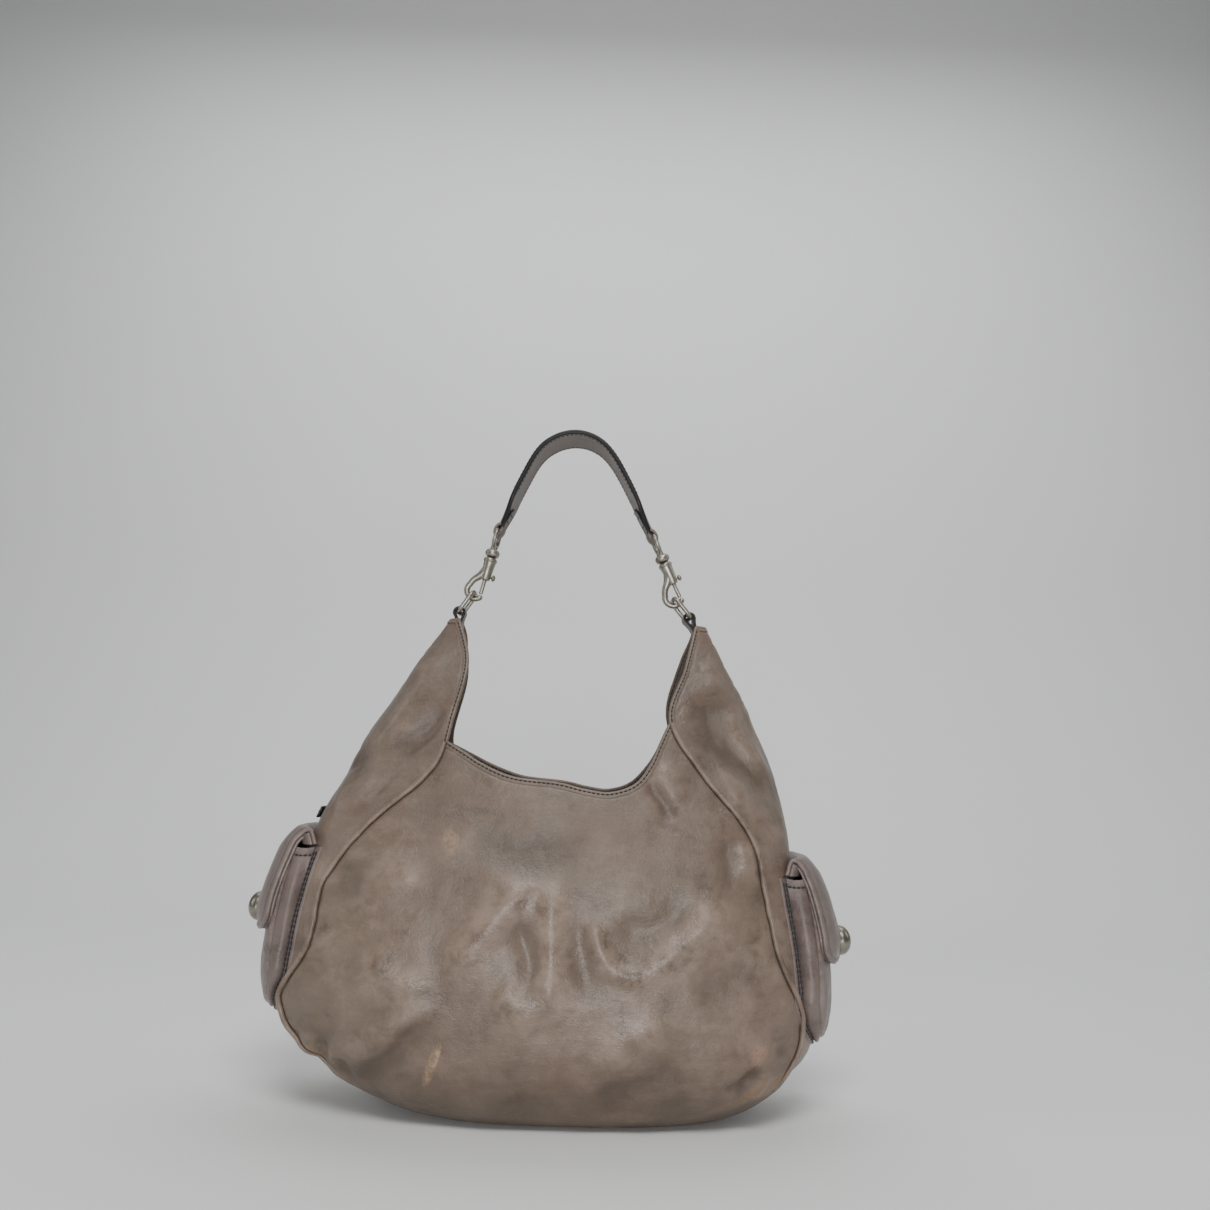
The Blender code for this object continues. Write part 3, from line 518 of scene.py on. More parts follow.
# centre, half sizes in metres, lean in radians, colour and strength of the worn and stained spots
SCUFFS = [
    ((-0.0700, -0.070, 0.044), (0.0040, 0.03, 0.0175), 0.32, (0.36, 0.235, 0.135), 0.62),
    ((-0.0665, -0.070, 0.050), (0.0016, 0.03, 0.0090), 0.32, (0.48, 0.33, 0.21), 0.50),
    ((-0.0680, -0.060, 0.186), (0.0075, 0.03, 0.0110), -0.30, (0.37, 0.27, 0.16), 0.38),
    ((0.1460, -0.055, 0.055), (0.0075, 0.03, 0.0085), 0.50, (0.42, 0.21, 0.13), 0.42),
    ((0.1520, -0.050, 0.030), (0.0210, 0.04, 0.0075), -0.45, (0.27, 0.16, 0.085), 0.60),
    ((0.1300, -0.055, 0.019), (0.0200, 0.04, 0.0050), -0.30, (0.24, 0.15, 0.085), 0.45),
    ((-0.1500, -0.050, 0.043), (0.0200, 0.04, 0.0070), 0.25, (0.27, 0.18, 0.10), 0.35),
    ((0.0600, -0.075, 0.012), (0.0280, 0.04, 0.0060), 0.05, (0.22, 0.15, 0.10), 0.35),
]


def leather(name, dark, middle, light, worn_and_highlight, scuffs=(), gloss=0.44, sheen=0.03):
    """Soft aniline leather: clouded colour, fine grain, ridges lightened by wear and by a painted
    highlight, and painted shade in creases and grooves.
    """
    made, tree, shader = new_material(name, Specular_IOR_Level=0.46, Sheen_Weight=sheen,
                                      Sheen_Roughness=0.45, Coat_Weight=0.05,
                                      Coat_Roughness=0.35)
    place = object_place(tree)
    streaks = object_place(tree, (0.35, 1.0, 1.6), (0, 0.5, 0))
    clouds = noise_node(tree, place, 15, 5, 0.62, 0.5)
    patches = noise_node(tree, place, 52, 6, 0.66, 0.3)
    wiped = noise_node(tree, streaks, 85, 5, 0.7)
    specks = noise_node(tree, place, 650, 2, 0.5)
    tone = maths(tree, "MULTIPLY_ADD", clouds, 0.42, maths(tree, "MULTIPLY", patches, 0.34))
    tone = maths(tree, "ADD", tone, maths(tree, "MULTIPLY", wiped, 0.24))
    colour = ramp(tree, tone, (0.38, dark), (0.50, middle), (0.63, light))
    tint = noise_node(tree, object_place(tree, (1, 1, 1), (0.4, 0, 0.7)), 21, 3, 0.5)
    colour = mixed(tree, span(tree, tint, 0.42, 0.66, 0.0, 0.40), colour,
                   tinted(middle, (1.10, 0.97, 0.97)))
    colour = mixed(tree, span(tree, tint, 0.52, 0.36, 0.0, 0.42), colour,
                   tinted(middle, (0.93, 0.98, 0.93)))
    wear_and_painted_highlight, painted_shade = attribute(tree, "wear_and_painted_highlight"), attribute(tree, "painted_shade")
    broken = span(tree, patches, 0.34, 0.62)
    # Lighter by the mark of rubbed wear and painted highlight.
    colour = mixed(tree, maths(tree, "MULTIPLY", wear_and_painted_highlight, broken), colour, worn_and_highlight)
    # Painted shade: darker where the shade mark is set, in creases and grooves, towards the bottom
    # and on the horns.
    colour = mixed(tree, maths(tree, "MULTIPLY", painted_shade, 0.75), colour,
                   tinted(dark, 0.50))
    for centre, size, lean, stain, strength in scuffs:
        spot = mark(tree, centre, size, lean, place)
        ragged = span(tree, noise_node(tree, place, 420, 4, 0.7), 0.34, 0.60)
        share = maths(tree, "MULTIPLY", maths(tree, "MULTIPLY", spot, ragged), strength)
        colour = mixed(tree, share, colour, stain)
    pores = node(tree, "ShaderNodeTexVoronoi", {"Vector": place, "Scale": 1050.0},
                 feature="SMOOTH_F1").outputs["Distance"]
    colour = mixed(tree, span(tree, specks, 0.60, 0.78, 0.0, 0.30), colour,
                   tinted(dark, 0.6))
    rough = maths(tree, "MULTIPLY_ADD", patches, 0.20, gloss - 0.19)
    rough = maths(tree, "MULTIPLY_ADD", wiped, 0.18, rough)
    rough = maths(tree, "ADD", rough, maths(tree, "MULTIPLY", specks, 0.05))
    rough = maths(tree, "MULTIPLY_ADD", wear_and_painted_highlight, -0.16, rough)
    wrinkles = noise_node(tree, place, 240, 4, 0.6, 0.8)
    crinkle = noise_node(tree, streaks, 420, 3, 0.6, 1.2)
    connect(shader, colour, rough, (patches, 0.0012, 0.5), (wrinkles, 0.00060, 0.6),
            (crinkle, 0.00034, 0.6), (pores, 0.00020, 0.6))
    return made


def metal(name, colour, rough, dull):
    """Satin plated metal with fine scratches and a little tarnish."""
    made, tree, shader = new_material(name, Metallic=1.0, Specular_IOR_Level=0.5)
    clouds = noise_node(tree, object_place(tree), 160, 4, 0.6)
    grain = noise_node(tree, object_place(tree, (1, 1, 0.12)), 2600, 3, 0.6)
    tint = mixed(tree, span(tree, clouds, 0.38, 0.68), colour, dull)
    level = maths(tree, "MULTIPLY_ADD", clouds, 0.16, rough - 0.08)
    connect(shader, tint, maths(tree, "MULTIPLY_ADD", grain, 0.10, level),
            (clouds, 0.00004, 0.30), (grain, 0.00002, 0.4))
    return made


def painted_edge(name, colour, rough):
    """Thick flexible edge paint, slightly rippled and rubbed."""
    made, tree, shader = new_material(name, Specular_IOR_Level=0.32, Coat_Weight=0.06,
                                      Coat_Roughness=0.30)
    place = object_place(tree)
    ripple = noise_node(tree, place, 380, 4, 0.6)
    rubbed = noise_node(tree, place, 130, 4, 0.65)
    tint = mixed(tree, span(tree, rubbed, 0.52, 0.75, 0.0, 0.8), colour,
                 tuple(c * 2.2 + 0.004 for c in colour))
    connect(shader, tint, maths(tree, "MULTIPLY_ADD", rubbed, 0.3, rough - 0.15),
            (ripple, 0.0003, 0.5))
    return made


def thread(name, colour):
    """Twisted polyester thread."""
    made, tree, shader = new_material(name, Specular_IOR_Level=0.4, Sheen_Weight=0.2)
    twist = waves(tree, object_place(tree, turn=(0.6, 0.7, 0)), 900.0, 1.0)
    connect(shader, mixed(tree, twist, tinted(colour, 0.55), tinted(colour, 1.5)), 0.62,
            (twist, 0.00015, 0.7))
    return made


def woven(name, dark, light, pitch):
    """Plain woven cloth whose two yarn directions cross over."""
    made, tree, shader = new_material(name, Specular_IOR_Level=0.25, Sheen_Weight=0.25,
                                      Sheen_Roughness=0.5)
    place = object_place(tree, turn=(0.05, 0.03, 0.02))
    yarns = maths(tree, "MULTIPLY", *(waves(tree, place, 1 / pitch, 0.6, axis) for axis in "XZ"))
    faded = noise_node(tree, place, 40, 4, 0.6)
    share = maths(tree, "MULTIPLY_ADD", yarns, 0.6, maths(tree, "MULTIPLY", faded, 0.5))
    connect(shader, mixed(tree, share, dark, light), 0.86, (yarns, 0.00025, 0.6),
            (faded, 0.0008, 0.3))
    return made


LEATHER = leather("bag_leather", (0.083, 0.059, 0.043), (0.138, 0.100, 0.074),
                  (0.197, 0.143, 0.110), (0.268, 0.199, 0.156), SCUFFS, gloss=0.40)
FACING = leather("facing_leather", (0.060, 0.046, 0.038), (0.098, 0.076, 0.063),
                 (0.140, 0.112, 0.095), (0.19, 0.155, 0.132), gloss=0.52)
POCKET = leather("pocket_leather", (0.082, 0.061, 0.054), (0.134, 0.101, 0.090),
                 (0.188, 0.145, 0.131), (0.27, 0.214, 0.192), gloss=0.39)
STRAP = leather("strap_leather", (0.078, 0.060, 0.051), (0.122, 0.096, 0.082),
                (0.170, 0.137, 0.118), (0.24, 0.196, 0.17), gloss=0.50)
EDGE = painted_edge("black_edge_paint", (0.006, 0.0055, 0.006), 0.44)
THREAD = thread("black_thread", (0.009, 0.008, 0.008))
NICKEL = metal("satin_nickel", (0.38, 0.355, 0.305), 0.34, (0.25, 0.23, 0.19))
# The studs' nickel is a darker copy of the satin nickel: the darkening is painted shade, standing in
# for dark reflections.
SHADED_STUD_NICKEL = metal("stud_nickel_painted_shade", (0.29, 0.27, 0.225), 0.30, (0.20, 0.185, 0.15))
STEEL = metal("spring_steel", (0.46, 0.46, 0.46), 0.34, (0.28, 0.27, 0.26))
CLOTH = woven("lining_cloth", (0.055, 0.045, 0.040), (0.150, 0.125, 0.112), 0.0011)
TAPE = woven("zip_tape_cloth", (0.018, 0.016, 0.016), (0.055, 0.050, 0.050), 0.0009)
PLATE = painted_edge("dark_plate", (0.020, 0.020, 0.022), 0.40)


# ---- the leather body's surface -----------------------------------------------------------------

def station(level):
    """Height, half widths, half depth, squareness and gusset edges at levels."""
    rows = smooth_rows(STATIONS, level)
    rows[..., 0] = np.where(np.asarray(level) <= 1, 0, np.maximum(rows[..., 0], 0))
    return rows


LEVELS = np.linspace(0.003, TIP_LEVEL, 480)
HEIGHTS = station(np.maximum(LEVELS, 1))[..., 0]


def level_at(height):
    """The level on the body at a height above the base."""
    return np.interp(height, HEIGHTS, LEVELS)


def skin_point(level, angle):
    """A point of the outer leather: angle 0 is the right side, 90 degrees the front."""
    level, angle = np.broadcast_arrays(np.asarray(level, float), angle)
    rows = station(level)
    c, s = np.cos(angle), np.sin(angle)
    half = np.where(c > 0, rows[..., 2], rows[..., 1])
    share = 2 / rows[..., 4]
    return np.stack([half * np.sign(c) * np.abs(c) ** share,
                     -rows[..., 3] * np.sign(s) * np.abs(s) ** share, rows[..., 0]], -1)


def skin_normal(level, angle):
    """The outward direction of the leather."""
    nudge = 0.02
    level, angle = np.broadcast_arrays(np.asarray(level, float), angle)
    along = (skin_point(np.minimum(level + nudge, TIP_LEVEL), angle)
             - skin_point(np.maximum(level - nudge, 0), angle))
    around = skin_point(level, angle + nudge) - skin_point(level, angle - nudge)
    out = unit(np.cross(along, around))
    facing = ((skin_point(level, angle) - (0, 0, 150)) * out).sum(-1, keepdims=True)
    out = np.where(facing < 0, -out, out)
    return np.where((level < 1.02)[..., None], (0, 0, -1), out)


def edge_angle(level, side):
    """The angle, on the front, of the gusset edge on one side."""
    rows = station(level)
    half, edge = (rows[..., 1], -rows[..., 5]) if side < 0 else (rows[..., 2], rows[..., 6])
    turn = np.arccos(np.minimum(edge / half, 1.0) ** (rows[..., 4] / 2))
    return math.pi - turn if side < 0 else turn


EDGE_STEPS = (0, 0.7, 1.4, 2.1, 2.8, 3.5, 4.3, 5.3, 6.6, 8.2, 10)   # columns beside a seam


def angle_table(starts, ends, middle, trim=0.2):
    """Angles of a patch's columns at each of LEVELS: close beside the seams, even between."""
    table = []
    for level, start, end in zip(LEVELS, starts, ends):
        fine = np.linspace(start, end, 181)
        run = lengths(skin_point(level, fine))
        near = trim + np.array(EDGE_STEPS) * min(1, run[-1] / (3 * EDGE_STEPS[-1]))
        inner = np.linspace(near[-1], run[-1] - near[-1], middle)[1:-1]
        table.append(np.interp(np.concatenate([near, inner, run[-1] - near[::-1]]), run, fine))
    return np.array(table)


def table_angle(table, level, column):
    """Read an angle table at levels, for column numbers of the same shape."""
    where = np.interp(level, LEVELS, np.arange(len(LEVELS)))
    low = np.clip(np.floor(where).astype(int), 0, len(LEVELS) - 2)
    share = where - low
    return table[low, column] * (1 - share) + table[low + 1, column] * share


PANEL_TABLE = angle_table(edge_angle(LEVELS, -1), edge_angle(LEVELS, 1), 150)
GUSSET_TABLE = {
    -1: angle_table(math.tau - edge_angle(LEVELS, -1), edge_angle(LEVELS, -1), 86),
    1: angle_table(edge_angle(LEVELS, 1), -edge_angle(LEVELS, 1), 86),
}
MOUTH_CURVE = smooth_line(MOUTH_LINE, 200)


def mouth_levels():
    """The level where the mouth line cuts each column of a panel."""
    columns = np.arange(PANEL_TABLE.shape[1])
    low = np.full(len(columns), level_at(195))
    high = np.full(len(columns), level_at(292))
    for _ in range(26):
        middle = (low + high) / 2
        points = skin_point(middle, table_angle(PANEL_TABLE, middle, columns))
        under = points[:, 2] < np.interp(points[:, 0], MOUTH_CURVE[:, 0], MOUTH_CURVE[:, 1])
        low, high = np.where(under, middle, low), np.where(under, high, middle)
    return (low + high) / 2


MOUTH_LEVELS = mouth_levels()
SEAM_TOP = {-1: MOUTH_LEVELS[0], 1: MOUTH_LEVELS[-1]}


def seam_places(side, start=0.0, count=420):
    """(levels, angles) up a front seam."""
    levels = np.linspace(start, SEAM_TOP[side], count)
    return levels, edge_angle(levels, side)


def rim_places():
    """(levels, angles) all round the mouth edge, front first, then the back mirrored."""
    left, right = edge_angle(TIP_LEVEL, -1), edge_angle(TIP_LEVEL, 1)
    tip_turn = np.linspace(0, 1, 12)[:-1]
    horn = np.linspace(TIP_LEVEL, SEAM_TOP[-1], 90)[:-1]
    columns = np.arange(len(MOUTH_LEVELS))
    other = np.linspace(SEAM_TOP[1], TIP_LEVEL, 90)[1:]
    levels = np.concatenate([np.full(11, TIP_LEVEL), horn, MOUTH_LEVELS, other,
                             np.full(11, TIP_LEVEL)])
    angles = np.concatenate([math.pi + (left - math.pi) * tip_turn, edge_angle(horn, -1),
                             table_angle(PANEL_TABLE, MOUTH_LEVELS, columns),
                             edge_angle(other, 1), right * (1 - tip_turn[1:]), [0.0]])
    return (np.concatenate([levels, levels[-2:0:-1]]),
            np.concatenate([angles, -angles[-2:0:-1]]))


def tree_of(points):
    """A lookup of the nearest of some points."""
    tree = KDTree(len(points))
    for k, point in enumerate(points):
        tree.insert(point, k)
    tree.balance()
    return tree


def nearest(tree, points):
    """Distance to and number of the nearest stored point, for a grid of points."""
    flat = points.reshape(-1, 3)
    found = [tree.find(p) for p in flat.tolist()]
    shape = points.shape[:-1]
    return (np.array([f[2] for f in found]).reshape(shape),
            np.array([f[1] for f in found]).reshape(shape))


SEAM_POINTS = np.concatenate([skin_point(*seam_places(side)) * flip
                              for side in (-1, 1) for flip in (SAME, FLIP)])
SEAM_TREE = tree_of(SEAM_POINTS)
RIM_LEVELS, RIM_ANGLES = rim_places()
RIM_POINTS = skin_point(RIM_LEVELS, RIM_ANGLES)
RIM_TREE = tree_of(RIM_POINTS)

# ---- the folds of the slumped leather -----------------------------------------------------------
# Each fold is its height (a valley is negative), its half width and the line of its crest. Lines
# on the front and back are (x, height), and on the two sides (y, height).
FRONT_FOLDS = [
    (3.4, 10, [(2, 178), (5, 150), (7, 120), (5, 84), (0, 62)]),
    (3.8, 11, [(-70, 92), (-48, 122), (-30, 144), (-10, 158), (6, 166)]),
    (-3.6, 9, [(-24, 140), (-15, 126), (-7, 112), (-1, 92)]),
    (2.2, 8, [(-34, 100), (-24, 92), (-12, 82), (2, 72)]),
    (-3.0, 11, [(20, 152), (22, 128), (28, 104), (32, 80)]),
    (3.6, 5.5, [(26, 146), (33, 124), (44, 107), (60, 102), (78, 108)]),
    (4.4, 12, [(58, 100), (78, 110), (96, 126), (114, 143), (134, 160)]),
    (-3.4, 14, [(48, 150), (62, 132), (82, 134), (104, 158)]),
    (2.4, 7, [(134, 192), (138, 182), (141, 168)]),
    (-2.0, 8, [(122, 196), (128, 178), (126, 160)]),
    (-4.8, 7, [(-130, 20), (-112, 38), (-91, 58), (-66, 80)]),
    (3.2, 8, [(-128, 38), (-106, 56), (-84, 74), (-60, 88)]),
    (-2.6, 3.2, [(-152, 58), (-148, 46), (-146, 32)]),
    (1.8, 3.6, [(-143, 54), (-140, 42), (-139, 30)]),
    (-3.0, 3.4, [(-136, 44), (-131, 32), (-127, 20)]),
    (-1.4, 3.0, [(-160, 62), (-146, 60), (-132, 62)]),
    (-2.8, 3.6, [(148, 44), (140, 32), (130, 24)]),
    (2.0, 4.0, [(156, 42), (148, 30), (138, 20)]),
    (-1.6, 3.0, [(120, 30), (134, 34), (150, 34)]),
    (2.6, 10, [(30, 44), (48, 57), (68, 69), (92, 78)]),
    (-3.2, 13, [(24, 30), (48, 32), (76, 38), (104, 54)]),
    (-3.0, 5.5, [(69, 238), (74, 228), (82, 216), (92, 204)]),
    (2.2, 8, [(82, 250), (80, 240), (84, 226), (94, 216)]),
    (-0.7, 2.2, [(-82, 213), (-60, 211), (-40, 209), (-24, 206)]),
    (-0.8, 2.4, [(66, 203), (88, 198), (106, 193), (124, 186)]),
    (-0.6, 2.0, [(74, 210), (92, 206), (110, 199)]),
    (-2.6, 16, [(-150, 176), (-138, 160), (-128, 142)]),
    (1.8, 12, [(-120, 182), (-104, 168), (-92, 148)]),
    (-1.6, 12, [(-60, 196), (-30, 186), (0, 188), (40, 198)]),
    (2.6, 12, [(-126, 110), (-96, 96), (-70, 92)]),
    (-2.6, 6, [(-148, 60), (-146, 50), (-143, 38)]),
    (-2.8, 7, [(-160, 44), (-146, 38), (-128, 34)]),
    (1.6, 6, [(-166, 56), (-158, 52), (-150, 58)]),
    (-1.8, 12, [(96, 92), (124, 100), (146, 118)]),
]
HORNS_FOLDS = [
    (3.2, 11, [(-80, 340), (-90, 318), (-103, 292), (-122, 260), (-140, 232)]),
    (-2.6, 9, [(-74, 290), (-90, 268), (-104, 250), (-122, 232)]),
    (-1.6, 3.5, [(-74, 282), (-92, 266), (-112, 254), (-134, 246)]),
    (-1.2, 3.0, [(-78, 272), (-94, 256), (-108, 240), (-128, 222)]),
    (2.0, 7, [(-92, 258), (-108, 240), (-126, 222), (-146, 200)]),
    (-2.2, 6, [(-96, 246), (-112, 229), (-132, 210), (-146, 190)]),
    (1.6, 7, [(-150, 236), (-156, 214), (-160, 190)]),
    (2.2, 9, [(130, 292), (137, 280), (140, 262), (150, 236)]),
    (2.0, 6, [(143, 270), (148, 256), (158, 236)]),
    (-2.0, 7, [(122, 272), (134, 254), (146, 232), (156, 210)]),
    (-2.4, 10, [(100, 300), (112, 276), (120, 254), (134, 232)]),
    (1.8, 8, [(108, 262), (118, 246), (130, 226), (144, 204)]),
    (-1.2, 3.0, [(92, 268), (104, 258), (118, 252)]),
    (1.5, 9, [(112, 330), (116, 310), (114, 290)]),
]
BACK_FOLDS = [
    (3.2, 13, [(-10, 176), (-14, 146), (-12, 116), (-4, 86)]),
    (3.2, 15, [(60, 96), (36, 120), (12, 142), (-12, 156)]),
    (-3.2, 10, [(-34, 156), (-38, 130), (-32, 104), (-20, 84)]),
    (3.8, 14, [(-128, 150), (-104, 130), (-78, 112), (-50, 100)]),
    (-3.2, 12, [(-112, 172), (-84, 152), (-60, 136)]),
    (-3.4, 9, [(132, 24), (108, 46), (88, 62), (66, 86)]),
    (2.6, 10, [(120, 44), (98, 60), (78, 80), (60, 100)]),
    (-3.0, 13, [(-30, 32), (-58, 36), (-88, 52), (-110, 74)]),
    (2.2, 10, [(-20, 52), (-50, 62), (-78, 74)]),
    (-2.8, 6, [(-70, 238), (-80, 222), (-92, 204)]),
    (2.2, 9, [(-84, 246), (-90, 226), (-104, 206)]),
    (-2.2, 10, [(110, 200), (92, 180), (84, 156)]),
    (2.2, 11, [(128, 190), (112, 166), (104, 140)]),
    (-0.8, 2.4, [(78, 212), (50, 208), (22, 204)]),
    (-0.7, 2.2, [(-60, 202), (-90, 194), (-116, 188)]),
    (-2.4, 12, [(40, 190), (10, 182), (-24, 188)]),
    (-2.4, 7, [(148, 62), (140, 46), (124, 34)]),
]
LEFT_FOLDS = [
    (2.0, 10, [(0, 330), (3, 290), (-4, 250), (0, 215)]),
    (-1.8, 9, [(22, 262), (14, 236), (20, 212)]),
    (-1.6, 8, [(-24, 252), (-16, 230), (-22, 208)]),
    (-2.4, 8, [(-44, 52), (-24, 36), (-10, 18)]),
    (-2.4, 8, [(42, 50), (26, 34), (12, 16)]),
    (2.0, 9, [(-8, 52), (0, 34), (6, 18)]),
    (3.0, 6, [(-54, 58), (-48, 46), (-40, 36)]),
]
RIGHT_FOLDS = [
    (2.0, 10, [(0, 328), (-4, 290), (4, 250), (-2, 212)]),
    (-1.8, 9, [(-20, 268), (-12, 240), (-18, 206)]),
    (-1.8, 8, [(20, 250), (14, 226), (22, 204)]),
    (-2.4, 8, [(-44, 44), (-26, 30), (-12, 14)]),
    (-2.4, 8, [(44, 44), (24, 30), (12, 14)]),
    (2.0, 9, [(8, 44), (0, 28), (-6, 14)]),
]


FRONT_DEEP = 1.25       # how strongly the folds of a face show
BACK_DEEP = 1.2
HORN_BACK = 0.8         # the horns' folds on the back, against those on the front


def crest(distance, width):
    """A fold's cross section: a narrow rounded top with long soft flanks."""
    return np.exp(-((np.sqrt(distance**2 + 2.5) - 2.5**0.5) / (0.88 * width)) ** 1.3)


def fold_relief(across, up, folds):
    """Height of a set of folds at (across, up) points."""
    total = np.zeros(across.shape)
    for height, width, line in folds:
        line = smooth_line(line, 14)
        best = np.full(across.shape, 1e9)
        place = np.zeros(across.shape)
        for k, (a, b) in enumerate(zip(line, line[1:])):
            step = b - a
            share = ((across - a[0]) * step[0] + (up - a[1]) * step[1]) / (step @ step)
            share = np.clip(share, 0, 1)
            gap = np.hypot(across - a[0] - share * step[0], up - a[1] - share * step[1])
            nearer = gap < best
            best = np.where(nearer, gap, best)
            place = np.where(nearer, (k + share) / (len(line) - 1), place)
        fade = ease(np.minimum(place, 1 - place) / 0.32)
        total += height * fade * crest(best, width)
    return total


def relief(points, normals):
    """How far the leather stands out from the CAD surface, from its folds and creases."""
    warp = 7 * np.stack([noise(points, 34), noise(points + 50, 34), noise(points + 90, 34)], -1)
    x, y, z = np.moveaxis(points + warp * 0.6, -1, 0)
    front = ease(-normals[..., 1] * 1.6 + 0.1)
    back = ease(normals[..., 1] * 1.6 + 0.1)
    total = FRONT_DEEP * front * fold_relief(x, z, FRONT_FOLDS + HORNS_FOLDS)
    mirrored_horns = [(h * HORN_BACK, w, [(u, v - 6) for u, v in line])
                      for h, w, line in HORNS_FOLDS]
    total += BACK_DEEP * back * fold_relief(x, z, BACK_FOLDS + mirrored_horns)
    sides = ease(np.abs(normals[..., 0]) * 1.6 - 0.2)
    total += np.where(x < 0, sides * fold_relief(y, z, LEFT_FOLDS),
                      sides * fold_relief(y, z, RIGHT_FOLDS))
    total += 1.3 * rough_noise(points, 62, 2) + 0.42 * rough_noise(points, 21, 3)
    creased = 1 - np.abs(rough_noise(points * (1.0, 1.0, 1.5), 26, 3))
    total -= 0.55 * np.clip(creased - 0.80, 0, 1) / 0.20 * ease(noise(points + 9, 70) + 0.55)
    # pockets are sewn flat to the gussets, and the base lies flat on the ground
    flat = hump(np.maximum(np.abs(points[..., 1]) - 40, 0), 7)
    flat = flat * hump(np.maximum(np.abs(points[..., 2] - 120) - 62, 0), 9)
    flat = flat * ease(np.abs(points[..., 0]) / 30 - 4)
    total = total * (1 - 0.93 * flat)
    return total * ease(points[..., 2] / 16)


def seam_relief(points, total):
    """The dip beside a seam, its puckers, and the pressed edge and stitch groove at the rim."""
    gap, number = nearest(SEAM_TREE, points)
    rim_gap, _ = nearest(RIM_TREE, points)
    at = SEAM_POINTS[number]
    pucker = noise(at, 8.5) * 0.8 + noise(at + 70, 17) * 1.0
    above = ease((points[..., 2] - 10) / 20)
    total = total * (1 - 0.5 * hump(gap, 8))
    total += above * (pucker * hump(gap - 5, 8) * 0.95 - 1.2 * hump(gap, 1.8))
    total *= 1 - 0.65 * hump(rim_gap, 7)
    total -= 0.35 * hump(rim_gap - STITCH_IN, 0.7)
    return total, gap, rim_gap


def spread(values, reach):
    """Blur a grid by averaging shifted copies."""
    padded = np.pad(values, reach, mode="edge")
    rows, columns = values.shape
    total = 0
    for i in (0, reach, 2 * reach):
        for j in (0, reach, 2 * reach):
            total = total + padded[i:i + rows, j:j + columns]
    return total / 9


def body_grid(levels, angles, flip):
    """Points, normals and relief of the creased leather over a grid of places, with its marks of wear
    and painted highlight and of painted shade.
    """
    points = skin_point(levels, angles) * flip
    normals = skin_normal(levels, angles) * flip
    total, gap, rim_gap = seam_relief(points, relief(points, normals))
    ridge = (total - spread(spread(total, 5), 9)) / 1.3
    # Painted highlight: a broad lighter, glossier patch in the middle of each face.
    centre = hump(points[..., 0] - 25, 150) * hump(points[..., 2] - 112, 50)
    # Lighter ridges stand for both rubbed wear and painted highlight; the mouth's edge is rubbed.
    wear_and_painted_highlight = np.clip(ridge - 0.1, 0, 1) * 0.45 + 0.10 * hump(rim_gap, 1.5) + 0.55 * centre
    # Painted shade: darker in the fold valleys and towards the bottom.
    painted_shade = np.clip(-ridge - 0.25, 0, 1) * 0.42 + 0.55 * ease((58 - points[..., 2]) / 56)
    # Painted shade: darker towards the top and on the horns.
    painted_shade += 0.24 * ease((points[..., 2] - 190) / 70)
    # Painted shade in the grooves of the seams.
    painted_shade += 0.5 * hump(gap, 1.0) * ease((points[..., 2] - 10) / 20)
    # Painted shade in the stitch groove under the mouth edge.
    painted_shade += 0.15 * hump(rim_gap - STITCH_IN, 0.6)
    return points, normals, total, np.clip(wear_and_painted_highlight, 0, 0.8), np.clip(painted_shade, 0, 0.9)


def slumped(points):
    """Lean the back of the mouth to the left and draw the horn tips together."""
    points = np.array(points)
    x, y, z = np.moveaxis(points, -1, 0)
    left = BACK_LEAN * ease((z - 222) / 46) * (1 - ease((z - 322) / 24))
    right = HORN_STAY + (HORN_LEAN - HORN_STAY) * ease((z - 270) / 48)
    right = right * ease((z - 222) / 46) * (1 - ease((z - 326) / 22))
    lean = (left + (right - left) * ease((x + 60) / 130)) * np.maximum(y, 0)
    points[..., 0] = x - lean
    points[..., 1] = y * (1 - TIP_PINCH * ease((z - 300) / 48))
    return points


def leather_patch(name, levels, angles, flip, cad_node):
    """A sewn piece of the leather body as a closed shell."""
    points, normals, total, wear_and_painted_highlight, painted_shade = body_grid(levels, angles, flip)
    outer = slumped(points + normals * total[..., None])
    inner = slumped(points + normals * (total * 0.85 - SKIN)[..., None])
    make(name, shell_parts(outer, inner), LEATHER, "bag", [cad_node],
         {"wear_and_painted_highlight": outside(wear_and_painted_highlight), "painted_shade": outside(painted_shade)})


def rim_rows(count):
    """Shares of a column's height, closer together near its free upper edge."""
    fine = 1 - np.array(EDGE_STEPS[::-1]) / (LEVEL_MM * 8)
    return np.concatenate([np.linspace(0.0012, fine[0], count)[:-1], fine])


def panels():
    """The front and back panels, cut along the side seams and the mouth line."""
    levels = rim_rows(118)[:, None] * MOUTH_LEVELS
    columns = np.broadcast_to(np.arange(len(MOUTH_LEVELS)), levels.shape)
    angles = table_angle(PANEL_TABLE, levels, columns)
    for face, flip in FACES.items():
        leather_patch(face + "_leather", levels, angles, flip, face + "_panel")


def gussets():
    """The side gussets that rise into the horns."""
    for label, side in SIDES.items():
        table = GUSSET_TABLE[side]
        rows = np.concatenate([np.linspace(0.05, SEAM_TOP[side], 108)[:-1],
                               np.linspace(SEAM_TOP[side], TIP_LEVEL, 64)])
        levels, columns = np.broadcast_arrays(rows[:, None], np.arange(table.shape[1]))
        angles = table_angle(table, levels, columns)
        leather_patch("gusset_leather_" + label, levels, angles, SAME, "gusset_" + label)


